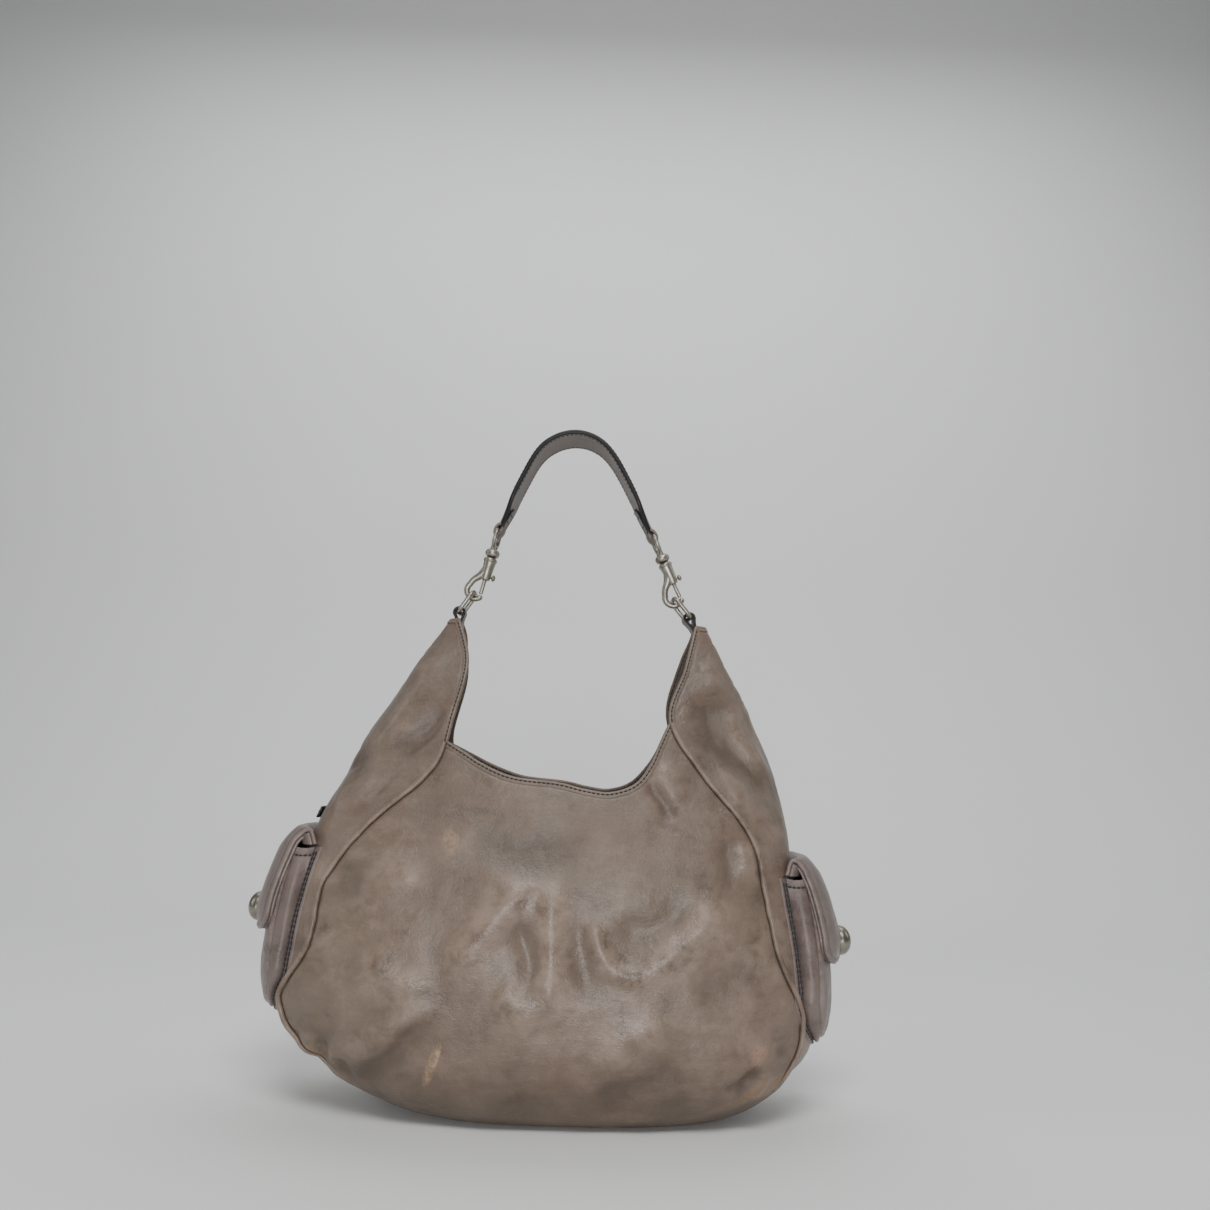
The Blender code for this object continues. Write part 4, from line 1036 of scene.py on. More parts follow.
def creased(levels, angles, flip=SAME):
    """Points and normals of the body, and how far the creased leather stands out there."""
    points = skin_point(levels, angles) * flip
    normals = skin_normal(levels, angles) * flip
    total, _, _ = seam_relief(points, relief(points, normals))
    return points, normals, total


def raised_path(levels, angles, flip, rise):
    """A path that follows the creased leather, with its outward directions."""
    points, normals, total = creased(levels, angles, flip)
    path = slumped(points + normals * (total + rise)[:, None])
    return path, square_to(normals, tangents(path))


WELT_R = 1.9
WELT_RISE = 2.2       # welt centre above the bottom of the seam's dip
WELT_LEVEL = 3.5      # where a welt comes out from under the bag


def welts():
    """The piped seams between the panels and the gussets, thinner where they go under the bag."""
    for label, side in SIDES.items():
        for face, flip in FACES.items():
            levels, angles = seam_places(side, WELT_LEVEL, 260)
            path, out = raised_path(levels, angles, flip, WELT_RISE)
            up = levels - WELT_LEVEL
            swell = (1 + 0.10 * noise(path, 9)) * (0.35 + 0.65 * ease(up / 1.1))
            sections = [round_section(WELT_R * s, 14, 0.92) for s in swell]
            sunk = out * (WELT_R * (1 - ease(up / 0.9)))[:, None]
            parts = sweep_parts(path - sunk, np.cross(tangents(path), out), out, sections)
            # The welts are lightened all over: rubbed wear and a painted highlight on the cord.
            make(f"welt_{face}_{label}", parts, LEATHER, "bag", [f"piping_{face}_{label}"],
                 {"wear_and_painted_highlight": np.full(len(parts[0]), 0.5)})


RIM_HALF = [(1.2, -2.9), (1.5, -2.4), (1.45, -0.9), (1.25, -0.5), (1.45, 0.1), (1.3, 1.0), (0.8, 1.6)]
RIM_SECTION = np.array([*RIM_HALF, (0, 1.8), *((-x, z) for x, z in RIM_HALF[::-1])])


def rim_frame():
    """Path, outward and upward directions of the mouth edge, midway through the skin."""
    points, normals, total = creased(RIM_LEVELS, RIM_ANGLES)
    path = slumped(points + normals * (total - SKIN / 2)[:, None])
    along = tangents(path, closed=True)
    out = square_to(normals, along)
    return path, out, np.cross(out, along)


def mouth_edge(path, out, up):
    """The turned edge that runs round the mouth and over both horn tips."""
    height = RIM_SECTION[:, 1]
    wear_and_painted_highlight = 0.15 * hump(height - 1.0, 0.8)
    # Painted shade in the groove under the rolled top; the darker top stands for edge paint and
    # painted shade.
    painted_shade = 0.55 * hump(height + 0.5, 0.4) + 0.35 * ease(height - 0.9)
    make("mouth_edge", sweep_parts(path, out, up, RIM_SECTION, closed=True), LEATHER, "bag",
         ["mouth_binding"],
         {"wear_and_painted_highlight": np.tile(wear_and_painted_highlight, len(path)), "painted_shade": np.tile(painted_shade, len(path))})


def stitch_parts(path, out, pitch=4.3, length=3.0, thick=0.42, start=0.0):
    """A row of single stitches lying along a path."""
    run = lengths(path)
    parts = []
    for at in np.arange(start + pitch / 2, run[-1] - length / 2, pitch):
        here = np.array([[np.interp(at + d, run, path[:, k]) for k in range(3)]
                         for d in np.linspace(-length / 2, length / 2, 5)])
        up = unit(np.array([np.interp(at, run, out[:, k]) for k in range(3)]))
        lift = np.array([-0.30, 0.16, 0.28, 0.16, -0.30])
        line = here + up * lift[:, None]
        side = unit(np.cross(tangents(line), up))
        rise = np.cross(side, tangents(line))
        shape = [round_section(thick * f, 6) for f in (0.6, 1, 1.05, 1, 0.6)]
        parts.append(sweep_parts(line, side, rise, shape))
    return merge(*parts)


def mouth_stitches(path, out, up):
    """The dark seam just under the mouth edge, outside and in, but not where the keepers are."""
    skip = 14
    half = len(path) // 2
    rows = []
    for low, high in ((skip, half - skip), (half + skip, len(path) - skip)):
        line = (path - up * 0.5)[low:high]
        for side in (out[low:high], -out[low:high]):
            rows.append(stitch_parts(line + side * 1.25, side, 3.3, 2.8, 0.55))
    sew("mouth_stitches", rows)


# ---- stage, light and camera --------------------------------------------------------------------

def plain_material(name, colour, rough):
    """A pale painted surface with a faint unevenness."""
    made, tree, shader = new_material(name)
    clouds = noise_node(tree, object_place(tree), 3, 3)
    connect(shader, mixed(tree, clouds, colour, tinted(colour, 1.04)), rough)
    return made


def backdrop():
    """A pale floor that curves up far behind the bag."""
    bend, far = 0.7, 1.35
    line = [(-1.3, 0.0)] + [(far - bend + bend * math.sin(t), bend - bend * math.cos(t))
                            for t in np.radians(np.linspace(0, 90, 16))] + [(far, 2.6)]
    points = np.array([[(x, y, z) for x in (-1.9, 1.9)] for y, z in line]) / MM
    floor = new_object("backdrop", points.reshape(-1, 3), grid_faces(len(line), 2))
    floor.data.shade_smooth()
    floor.data.materials.append(plain_material("pale_backdrop", (0.74, 0.74, 0.73), 0.8))


def soft_light(name, place, target, size, power, colour=(1, 1, 1)):
    """A rectangular area light aimed at a point, in metres."""
    data = bpy.data.lights.new(name, "AREA")
    data.shape = "RECTANGLE"
    data.size, data.size_y = size
    data.energy = power
    data.color = colour
    light = bpy.data.objects.new(name, data)
    light.location = place
    light.rotation_mode = "QUATERNION"
    light.rotation_quaternion = (Vector(target) - Vector(place)).to_track_quat("-Z", "Y")
    bpy.context.scene.collection.objects.link(light)


def lights():
    """A window light from above and in front, a low fill, and weaker lights at the sides and on
    the backdrop."""
    world = bpy.data.worlds.new("studio")
    world.use_nodes = True
    world.node_tree.nodes["Background"].inputs["Color"].default_value = (0.93, 0.96, 1.0, 1)
    world.node_tree.nodes["Background"].inputs["Strength"].default_value = 0.14
    bpy.context.scene.world = world
    middle = (0.0, 0.0, 0.18)
    soft_light("window", (0.12, -1.20, 1.80), middle, (1.0, 0.6), 26)
    soft_light("front_fill", (0.05, -1.8, 0.24), (0.02, 0, 0.12), (0.7, 0.35), 15)
    soft_light("left_window", (-1.9, -0.5, 1.0), middle, (0.9, 1.3), 7, (0.95, 1.0, 0.98))
    soft_light("right_window", (2.1, 0.1, 1.2), middle, (0.9, 1.3), 7)
    soft_light("back_window", (0.0, 0.55, 1.9), (0.0, 1.0, 0.3), (2.4, 0.7), 15,
               (0.96, 0.98, 1.0))


CAMERA_PLACE = (0.0335, -0.710, 0.239)
CAMERA_TILT = 10.2      # degrees above the horizon
CAMERA_ROLL = 1.9
CAMERA_LENS = 27.04     # on a sensor 36 mm wide


def camera():
    """The view of the photograph."""
    data = bpy.data.cameras.new("camera")
    data.lens = CAMERA_LENS
    data.sensor_width = 36
    data.clip_start = 0.01
    made = bpy.data.objects.new("camera", data)
    bpy.context.scene.collection.objects.link(made)
    turn = (Matrix.Rotation(math.radians(90 + CAMERA_TILT), 4, "X")
            @ Matrix.Rotation(math.radians(CAMERA_ROLL), 4, "Z"))
    made.matrix_world = Matrix.Translation(CAMERA_PLACE) @ turn
    bpy.context.scene.camera = made


# ---- shapes shared by the small pieces ----------------------------------------------------------

def roll(gap, radius):
    """Drop of a rounded edge at a distance from it."""
    near = radius - np.clip(gap, 0, radius)
    return radius - np.sqrt(np.maximum(radius**2 - near**2, 0))


def grid_normals(grid):
    """Unit normals of a grid of points."""
    return unit(np.cross(np.gradient(grid, axis=0), np.gradient(grid, axis=1)))


def loop_points(half_a, half_b, corner, steps):
    """The outline of a rectangle with rounded corners, about its middle."""
    return [(a * (half_a - corner) + corner * math.cos(turn),
             b * (half_b - corner) + corner * math.sin(turn))
            for a, b, start in ((1, 1, 0), (-1, 1, 90), (-1, -1, 180), (1, -1, 270))
            for turn in np.radians(start + np.linspace(0, 90, steps))]


def slab_section(thick, wide, radius, across=8):
    """A flat strip's section in half sizes, and which of its sides are the narrow edges."""
    corners = np.array(loop_points(thick, wide, radius, 5)).reshape(4, 5, 2)
    inner = (wide - radius) * (1 - 2 * np.linspace(0, 1, across + 1)[1:-1])
    flat = np.stack([0 * inner + thick, inner], 1)
    points = np.concatenate([corners[0], corners[1], flat * (-1, 1), corners[2], corners[3],
                             flat * (1, -1)])
    edge = np.ones(len(points), bool)
    for start in (9, 19 + len(flat)):
        edge[start:start + 1 + len(flat)] = False
    return points, edge


def painted(piece, material, chosen):
    """Give some faces of a piece a second material."""
    piece.data.materials.append(material)
    piece.data.polygons.foreach_set("material_index", chosen.astype(np.int32))
    return piece


def strip(name, path, up, section, edge, body, nodes=(), closed=False):
    """A leather strip with painted edges: the section's first direction is its thickness."""
    side = np.broadcast_to(np.asarray(up, float), path.shape)
    out = unit(np.cross(tangents(path, closed), side))
    parts = sweep_parts(path, out, side, section, closed)
    piece = make(name, parts, STRAP, body, nodes)
    chosen = np.ones(len(parts[1]), bool)
    count = len(path) if closed else len(path) - 1
    chosen[:count * len(edge)] = np.tile(edge, count)
    return painted(piece, EDGE, chosen)


def block_parts(low, high, bevel=0.0, steps=3):
    """A box between two corners with rounded edges."""
    work = bmesh.new()
    bmesh.ops.create_cube(work, size=1)
    low, high = np.array(low, float), np.array(high, float)
    bmesh.ops.scale(work, vec=high - low, verts=work.verts)
    bmesh.ops.translate(work, vec=(low + high) / 2, verts=work.verts)
    if bevel:
        bmesh.ops.bevel(work, geom=work.edges, offset=bevel, segments=steps, profile=0.5,
                        affect="EDGES")
    work.verts.index_update()
    parts = (np.array([v.co[:] for v in work.verts]),
             [[v.index for v in f.verts] for f in work.faces])
    work.free()
    return parts


def pillow_parts(centre, halves, square=0.45):
    """A puffy rounded block in half sizes."""
    up = np.radians(np.linspace(-90, 90, 25))[:, None]
    around = np.radians(np.linspace(0, 360, 48, endpoint=False))[None]

    def bend(value, power):
        return np.sign(value) * np.abs(value) ** power

    grid = np.stack(np.broadcast_arrays(
        halves[0] * bend(np.cos(up), 0.5) * bend(np.cos(around), square),
        halves[1] * bend(np.sin(up), 0.8),
        halves[2] * bend(np.cos(up), 0.5) * bend(np.sin(around), square)), -1)
    return (grid + centre).reshape(-1, 3), grid_faces(25, 48, True).tolist()


def turned(name, profile, centre, direction, material, body, node, sides=48):
    """A nickel-plated piece turned about an axis that starts at a centre."""
    turn = Vector(direction).to_track_quat("Z", "Y").to_matrix().to_4x4()
    parts = moved(lathe_parts(profile, sides), Matrix.Translation(centre) @ turn)
    make(name, parts, material, body, [node])


def node_box(name):
    """A CAD node's lowest and highest corners in millimetres."""
    return np.array(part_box(name), float) / MM


# ---- inside -------------------------------------------------------------------------------------
LAYER_STEP = 3
FACING_DEPTHS = (2.2, 3.7)
ZIP_SLIT = 0.7
ZIP_PITCH = 1.25


def inner_layer(levels, depths):
    """Grids under the leather, all round the mouth's loop of angles."""
    angles = np.broadcast_to(RIM_ANGLES[::LAYER_STEP], levels.shape)
    points, normals, total = creased(levels, angles)
    return [slumped(points + normals * (total * 0.82 - depth)[..., None]) for depth in depths]


def lining():
    """The fabric lining, which hangs from the facing and lies flat behind the zip."""
    top = RIM_LEVELS[::LAYER_STEP] - (FACING_DEEP - 9) / LEVEL_MM
    levels = np.linspace(0.004, 1, 76)[:, None] * top
    angles = np.broadcast_to(RIM_ANGLES[::LAYER_STEP], levels.shape)
    slack = rough_noise(skin_point(levels, angles), 34, 3) + 0.5
    depth = LINING_DEPTH - 1.7 * hump((top - levels) * LEVEL_MM, 9) + 1.3 * np.clip(slack, 0, 2)
    outer, inner = inner_layer(levels, (depth, depth + 0.7))
    tape = node_box("zip_tape")
    near = ease((90 - np.abs(inner[..., 0])) / 12)
    near = near * ease((17 - np.abs(inner[..., 2] - tape[:, 2].mean())) / 8)
    press = near * np.maximum(inner[..., 1] - tape[1, 1] - 0.2, 0)
    for layer in (outer, inner):
        layer[..., 1] -= press
    make("lining_bag", shell_parts(outer, inner, True), CLOTH, "bag", ["lining"])


def facing():
    """The leather band inside the mouth, with the stitches along its lower edge."""
    below = np.array([1.2, 1.6, 3, 6, 10, 14, 18, 22, 26, 30, FACING_DEEP - 3, FACING_DEEP])
    levels = RIM_LEVELS[::LAYER_STEP] - below[:, None] / LEVEL_MM
    outer, inner = inner_layer(levels, FACING_DEPTHS)
    make("mouth_facing", shell_parts(outer, inner, True), FACING, "bag")
    row, inward = (np.concatenate([r, r[:1]]) for r in (inner[-2], inner[-2] - outer[-2]))
    sew("facing_stitches", [stitch_parts(row, unit(inward))])


def magnets():
    """The magnetic closure on its two padded leather tabs."""
    male = rounded([(0, 0), (9, 0), (9, 2.4), (3.4, 2.4), (3.0, 4.4), (0, 4.4)], 0.5)
    female = rounded([(0, 0), (9, 0), (9, 2.6), (4.4, 2.6), (4.4, 1.2), (0, 1.2)], 0.4)
    for face, sign, profile in (("front", 1, male), ("back", -1, female)):
        low, high = node_box("magnet_" + face)
        x, _, z = (low + high) / 2
        base = low[1] if sign > 0 else high[1]
        turned("magnet_disc_" + face, profile, (x, base, z), (0, sign, 0), NICKEL, "bag",
               "magnet_" + face)
        tab = pillow_parts((x, base - sign * 2.3, z - 1), (13.0, 2.4, 12.5))
        make("magnet_tab_" + face, tab, FACING, "bag")


def zip_closure():
    """The zip of the inner pocket: its two tapes, leather frame and teeth."""
    low, high = node_box("zip_tape")
    middle = (low[2] + high[2]) / 2
    tapes = [block_parts((low[0], low[1] + 0.3, foot), (high[0], high[1], top), 0.25)
             for foot, top in ((middle + ZIP_SLIT, high[2]), (low[2], middle - ZIP_SLIT))]
    make("zip_tape_cloth", merge(*tapes), TAPE, "bag", ["zip_tape"])
    path = np.array([(x, low[1], middle + z)
                     for x, z in loop_points((high[0] - low[0]) / 2 - 2, 8.4, 5.0, 9)])
    inward = np.tile([0.0, -1.0, 0.0], (len(path), 1))
    section, _ = slab_section(2.6, 0.75, 0.5)
    band = sweep_parts(path, np.cross(tangents(path, True), inward), inward, section, True)
    make("zip_frame", band, FACING, "bag")
    teeth = []
    for k, x in enumerate(np.arange(low[0] + 11, high[0] - 11, ZIP_PITCH)):
        z = middle + (0.65 if k % 2 else -0.65)
        teeth.append(block_parts((x - 0.4, low[1] - 0.5, z - 1.1), (x + 0.4, low[1] + 0.8, z + 1.1)))
    make("zip_teeth", merge(*teeth), STEEL, "bag")


def zip_slider():
    """The zip's slider with its bridge, and the pull with its two holes."""
    low, high = node_box("zip_slider")
    x, _, z = (low + high) / 2
    bridge = [(x, low[1] + 0.9 - 1.6 * math.sin(t), z - 2.6 * math.cos(t))
              for t in np.linspace(0, math.pi, 13)]
    slider = merge(block_parts(low + (0, 1.0, 0), high, 1.1),
                   tube_parts(bridge, 0.6, (1, 0, 0), 12))
    make_nickel("zip_slider_body", slider, "zip_slider", "zip_slider")
    low, high = node_box("zip_pull")
    x, y, _ = (low + high) / 2
    pull = make_nickel("zip_pull_tag", block_parts(low, high, 0.5), "zip_pull", "zip_pull")
    hole = lathe_parts([(0, -6), (1.3, -6), (1.3, 6), (0, 6)], 24)
    for height in (low[2] + 3.4, high[2] - 2.6):
        place = Matrix.Translation((x, y, height)) @ Matrix.Rotation(math.radians(90), 4, "X")
        carve(pull, ("DIFFERENCE", moved(hole, place)))


# ---- side pockets -------------------------------------------------------------------------------
POCKET_MIDDLE = smooth_line(POCKET_FRONT, 120)
SEAM_IN = 3.4               # seam line inside a pocket's rolled edge
HEM = 4.6
STRIP_SKIN = 1.7
STRIP_PUFF = 3.0


def side_place(side, y, height):
    """(levels, angles) of the body at a y and a height on one side."""
    level = level_at(height)
    rows = station(level)
    s = -np.sign(y) * np.clip(np.abs(y) / rows[..., 3], 0, 0.999) ** (rows[..., 4] / 2)
    return level, np.arctan2(s, side * np.sqrt(1 - s * s))


def side_leather(side, y, height, rise=0.0):
    """Points at a rise above the creased leather of one side, and the normals there."""
    points, normals, total = creased(*side_place(side, *np.broadcast_arrays(y, height)))
    return points + normals * (total + rise)[..., None], normals


def pocket_half(z):
    """Half width of the pocket's outline at heights on the left pocket."""
    slope = (POCKET_LOW_HALF - POCKET_TOP_HALF) / (POCKET_TOP - POCKET_BOTTOM - POCKET_CORNER)
    half = np.minimum(POCKET_TOP_HALF + slope * (POCKET_TOP - z), POCKET_LOW_HALF)
    below = np.clip(POCKET_BOTTOM + POCKET_CORNER - z, 0, POCKET_CORNER)
    return half - POCKET_CORNER + np.sqrt(POCKET_CORNER**2 - below**2)


def pocket_front(y, z):
    """Reach of the pocket's bulging outer face."""
    middle = np.interp(z, POCKET_MIDDLE[:, 0], POCKET_MIDDLE[:, 1])
    return middle - POCKET_BULGE * (y / POCKET_LOW_HALF) ** 2


def pocket_outline(count=260):
    """The pocket's edge, down its front side, along the bottom and up its back side, as (y, z),
    with the outward direction at each point."""
    turn = np.radians(np.linspace(0, 90, 24))
    z = np.concatenate([np.linspace(POCKET_TOP, POCKET_BOTTOM + POCKET_CORNER, 40)[:-1],
                        POCKET_BOTTOM + POCKET_CORNER * (1 - np.sin(turn))])
    edge = np.stack([-pocket_half(z), z], 1)
    outline = smooth_line(np.concatenate([edge, edge[::-1] * (-1, 1)]), count)
    along = tangents(outline)
    return outline, np.stack([along[:, 1], -along[:, 0]], 1)


def hem_groove(hem):
    """1 along the stitches of a pocket's hem, at distances below the pocket's top."""
    return hump(hem - HEM - 0.6, 0.7)


def hem_relief(hem):
    """The folded hem along a pocket's top and the groove of its stitches."""
    return 0.35 * ease((HEM - hem) / 1.2) - 0.30 * hem_groove(hem)


def pocket_face(label, side, drop):
    """The outer face of a pocket, rolled at its edge and hemmed at its top."""
    outline, _ = pocket_outline(500)
    corner = np.radians(np.linspace(0, 90, 26))
    z = np.concatenate([POCKET_BOTTOM + POCKET_CORNER * (1 - np.cos(corner)),
                        np.linspace(POCKET_BOTTOM + POCKET_CORNER, POCKET_TOP, 50)[1:]])[:, None]
    y = np.sin(np.radians(np.linspace(-90, 90, 71))) * pocket_half(z)
    z = np.broadcast_to(z, y.shape)
    gap, _ = nearest(tree_of(np.insert(outline, 0, 0, axis=1)), np.stack([y * 0, y, z], -1))
    place = np.stack([y * 0 + 200 * side, y, z], -1)
    hem = POCKET_TOP - z
    lift = 1.1 * ease(gap / 20) - roll(gap, 2.6) - 0.40 * hump(gap - SEAM_IN, 0.7)
    lift += 0.8 * rough_noise(place * (1, 1, 0.8), 24, 3) * ease(gap / 8)
    lift += 0.45 * noise(place, 6) * hump(gap - 7, 5) + hem_relief(hem)
    reach = pocket_front(y, z) + lift
    outer, inner = (np.stack([side * (reach - deep), y, z + drop], -1)
                    for deep in (0, POCKET_SKIN))
    # Painted shade in the groove of the edge seam and in the hem's stitch groove.
    painted_shade = 0.55 * hump(gap - SEAM_IN, 0.7) + 0.5 * hem_groove(hem)
    wear_and_painted_highlight = 0.45 * hump(gap, 1.8) + 0.25 * hump(hem, 1.5)
    make("pocket_front_" + label, shell_parts(outer, inner), POCKET, "bag",
         ["pocket_face_" + label],
         {"wear_and_painted_highlight": outside(wear_and_painted_highlight), "painted_shade": outside(painted_shade)})
    number = int(np.argmax(hem_groove(hem[:, 0])))
    row = outer[number, 3:-3] + (0.1 * side, 0, 0)
    out = np.tile([float(side), 0.0, 0.0], (len(row), 1))
    sew("pocket_hem_stitches_" + label, [stitch_parts(row, out)])


def pocket_strip(label, side, drop):
    """The soft strip between a pocket's face and the bag. Returns the stitches of its hem."""
    outline, out = pocket_outline()
    y, z = outline.T
    t = np.linspace(0, 1, 34)
    root, _ = side_leather(side, y, z + drop)
    near, far = np.abs(root[:, 0]) + 0.3, pocket_front(y, z) - POCKET_SKIN - 0.5
    reach = near[:, None] + (np.maximum(far, near + 1.5) - near)[:, None] * t
    hem = (POCKET_TOP - z)[:, None]
    place = np.stack(np.broadcast_arrays(side * reach, y[:, None], z[:, None]), -1)
    middle = np.sin(math.pi * t)
    swell = (0.5 + STRIP_PUFF * ease(hem / 34)) * middle**0.8 + hem_relief(hem)
    swell += 1.5 * middle * ease(hem / 12) * noise(place * (1, 1, 0.26), 10)
    swell += 0.8 * middle * noise(place, 13) - 1.4 * ease((t - 0.84) / 0.16)
    sag = -1.2 * middle * hump(hem, 10)
    outer, inner = (np.stack([side * reach, y[:, None] + out[:, :1] * puffed,
                              z[:, None] + drop + sag + out[:, 1:] * puffed], -1)
                    for puffed in (swell, swell - STRIP_SKIN))
    # Painted shade in the hem's stitch groove and along both ends of the strip, where it meets the
    # face and the bag.
    painted_shade = 0.6 * hem_groove(hem) + 0.45 * hump(1 - t, 0.06) + 0.3 * hump(t, 0.06)
    wear_and_painted_highlight = np.clip(0.25 * hump(hem, 1.5) + 0.35 * middle * noise(place, 15), 0, 0.6)
    make("pocket_side_" + label, shell_parts(outer, inner), POCKET, "bag",
         ["pocket_gusset_" + label],
         {"wear_and_painted_highlight": outside(wear_and_painted_highlight), "painted_shade": outside(np.clip(painted_shade, 0, 0.9))})
    rows = []
    for start, end in ((0, 40), (len(y) - 40, len(y))):
        number = start + int(np.argmax(hem_groove(hem[start:end, 0])))
        line = outer[number, 2:-3]
        square = np.tile(np.insert(out[number], 0, 0), (len(line), 1))
        rows.append(stitch_parts(line, square, 3.2, 2.7, 0.62))
    return rows


def pocket_flange(label, side, drop):
    """The strip's foot, turned out on the bag. Returns its two rows of stitches."""
    outline, out = pocket_outline()
    y, z = outline.T
    steps = np.array([-1.0, 0, 0.9, 1.9, 2.9, 3.5, 4.1, 4.5, 4.7])
    rise = np.array([1.0, 1.3, 0.95, 1.30, 0.95, 1.25, 1.0, 0.5, -0.3])
    foot, normals = side_leather(side, y[:, None] + out[:, :1] * steps,
                                 z[:, None] + drop + out[:, 1:] * steps)
    top = foot + normals * rise[:, None]
    make("pocket_flange_" + label, shell_parts(top, foot - normals * 0.3), POCKET, "bag")
    return [stitch_parts(top[3:-3, column], normals[3:-3, column], 3.6, 3.3, 0.92)
            for column in (2, 4)]


FLAP_ROOT_Z = 179.6
FLAP_CORNER = 17
FLAP_BULGE = 20
FLAP_BEND = ((186.0, 189.4), (191.8, 187.6), (198.4, 179.6), (204.4, 166), (209.8, 150.5),
             (214.1, 134), (213.9, 118.6))
FLAP_PLIES = ((0.0, 0.7, 1.75, 0.9, 1), (0.5, 3.6, 1.35, 0.3, 0))  # inset, depth, half, crown, seam


def flap_surface(side, drop, inset):
    """The middle surface of a flap that is cut an inset inside its edge. Returns its points, each
    row's length along the flap and each point's distance to the edge."""
    root = np.abs(skin_point(*side_place(side, np.array(0.0), FLAP_ROOT_Z + drop))[0])
    line = smooth_line([(root + 1.4, FLAP_ROOT_Z), (root + 3.8, 186.0), *FLAP_BEND], 300)
    run = lengths(line)
    long = run[-1] - inset
    s = np.concatenate([np.linspace(0, long - FLAP_CORNER, 80)[:-1],
                        long - FLAP_CORNER * (1 - np.sin(np.radians(np.linspace(0, 90, 30))))])
    half = np.interp(s, run, np.interp(line[:, 1], (FLAP_LOW_Z, FLAP_FOLD[1]),
                                       (FLAP_LOW_HALF, FLAP_TOP_HALF))) - inset
    past = np.clip(s - long + FLAP_CORNER, 0, FLAP_CORNER)
    half = half - FLAP_CORNER + np.sqrt(FLAP_CORNER**2 - past**2)
    u = np.sin(np.radians(np.linspace(-90, 90, 81)))
    y = u * half[:, None]
    end = np.linspace(-half[-1], half[-1], 60)
    rim = np.concatenate([np.stack([0 * s, s, half], 1), np.stack([0 * s, s, -half], 1),
                          np.stack([0 * end, 0 * end + long, end], 1)])
    gap, _ = nearest(tree_of(rim), np.stack(np.broadcast_arrays(0 * y, s[:, None], y), -1))
    body = side_place(side, y[0], np.full(y.shape[1], FLAP_ROOT_Z + drop))
    held = 1 - ease((s - 2) / 20)[:, None]
    x = (np.interp(s, run, line[:, 0])[:, None]
         + held * (np.abs(skin_point(*body)[:, 0]) - root + 3.5 * ease((np.abs(u) - 0.5) / 0.5))
         - (1 - held) * FLAP_BULGE * (y / FLAP_LOW_HALF) ** 2)
    z = np.interp(s, run, line[:, 1])[:, None] + 0 * y
    return np.stack([side * x, y, z + drop], -1), s, gap


def flap_ply(side, drop, inset, depth, half_thick, crown, seam):
    """One leather layer of a flap: inset of its edge, depth of its middle, half its thickness and
    the rise of its padding. Returns (points, faces), its wear marks and its painted shade."""
    grid, s, gap = flap_surface(side, drop, inset)
    normals = grid_normals(grid)
    normals *= np.sign((normals[..., 0] * side).mean())
    place = grid + 40
    waviness = 0.55 * rough_noise(place, 26, 3)
    waviness += 0.5 * hump(s - 22, 12)[:, None] * noise(place * (0.4, 0.25, 0.4), 3.4)
    thick = half_thick - roll(gap, half_thick) + crown * ease((gap - SEAM_IN) / 12)
    thick -= seam * 0.55 * hump(gap - SEAM_IN, 0.75)
    middle = grid + normals * (waviness - depth)[..., None]
    outer = middle + normals * thick[..., None]
    inner = middle - normals * np.minimum(thick, half_thick)[..., None]
    wear_and_painted_highlight = np.clip(0.5 * hump(gap, 1.6) + 0.2 * hump(gap - 5.5, 2), 0, 0.7).ravel()
    # Painted shade in the groove of the edge seam.
    painted_shade = np.clip(0.75 * seam * hump(gap - SEAM_IN, 0.7), 0, 0.9)
    return shell_parts(outer, inner), np.concatenate([wear_and_painted_highlight, wear_and_painted_highlight]), outside(painted_shade)


def flap(label, side, drop):
    """The padded flap, sewn to the bag, bent over its fold and held down by the stud."""
    plies = [flap_ply(side, drop, *ply) for ply in FLAP_PLIES]
    marks = {"wear_and_painted_highlight": np.concatenate([p[1] for p in plies]),
             "painted_shade": np.concatenate([p[2] for p in plies])}
    piece = make("flap_leather_" + label, merge(*[p[0] for p in plies]), POCKET, None,
                 ["pocket_flap_" + label, "flap_root_" + label], marks)
    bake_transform(piece)
    y = np.linspace(-FLAP_TOP_HALF + 2, FLAP_TOP_HALF - 2, 60)
    rows = []
    for low in (1.6, 4.2):
        line, normals = side_leather(side, y, np.full(60, FLAP_ROOT_Z + drop - low), 0.4)
        rows.append(stitch_parts(line, normals, 4.0, 3.3, 0.62))
    sew("flap_root_stitches_" + label, rows)


def studs(label, side):
    """The domed stud on a flap."""
    low, high = node_box("flap_stud_" + label)
    _, y, z = (low + high) / 2
    start = min(abs(low[0]), abs(high[0]))
    dome = [(STUD_R * math.cos(t), 2.2 + (STUD_RISE - 2.2) * math.sin(t))
            for t in np.radians(np.linspace(-8, 86, 18))]
    profile = [(0, 0), (10.9, 0), (11.2, 0.5), (11.0, 1.1), (10.1, 1.4)] + dome + [(0, STUD_RISE)]
    turned("stud_dome_" + label, profile, (side * start, y, z), (side, 0, 0), SHADED_STUD_NICKEL,
           "flap_" + label, "flap_stud_" + label, 64)
    for name in ("snap_post_", "snap_socket_"):
        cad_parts[name + label].material_slots[0].material = NICKEL


# ---- hooks, rings, keepers and strap ------------------------------------------------------------

def hook_matrix(label):
    """A hook's own frame in millimetres."""
    (x, z), lean = HOOKS[label]
    return Matrix.Translation((x, 0, z)) @ Matrix.Rotation(math.radians(lean), 4, "Y")


def hook_point(label, x, z):
    """A point of a hook's frame, as world x and z."""
    point = hook_matrix(label) @ Vector((x, 0, z))
    return np.array([point.x, point.z])


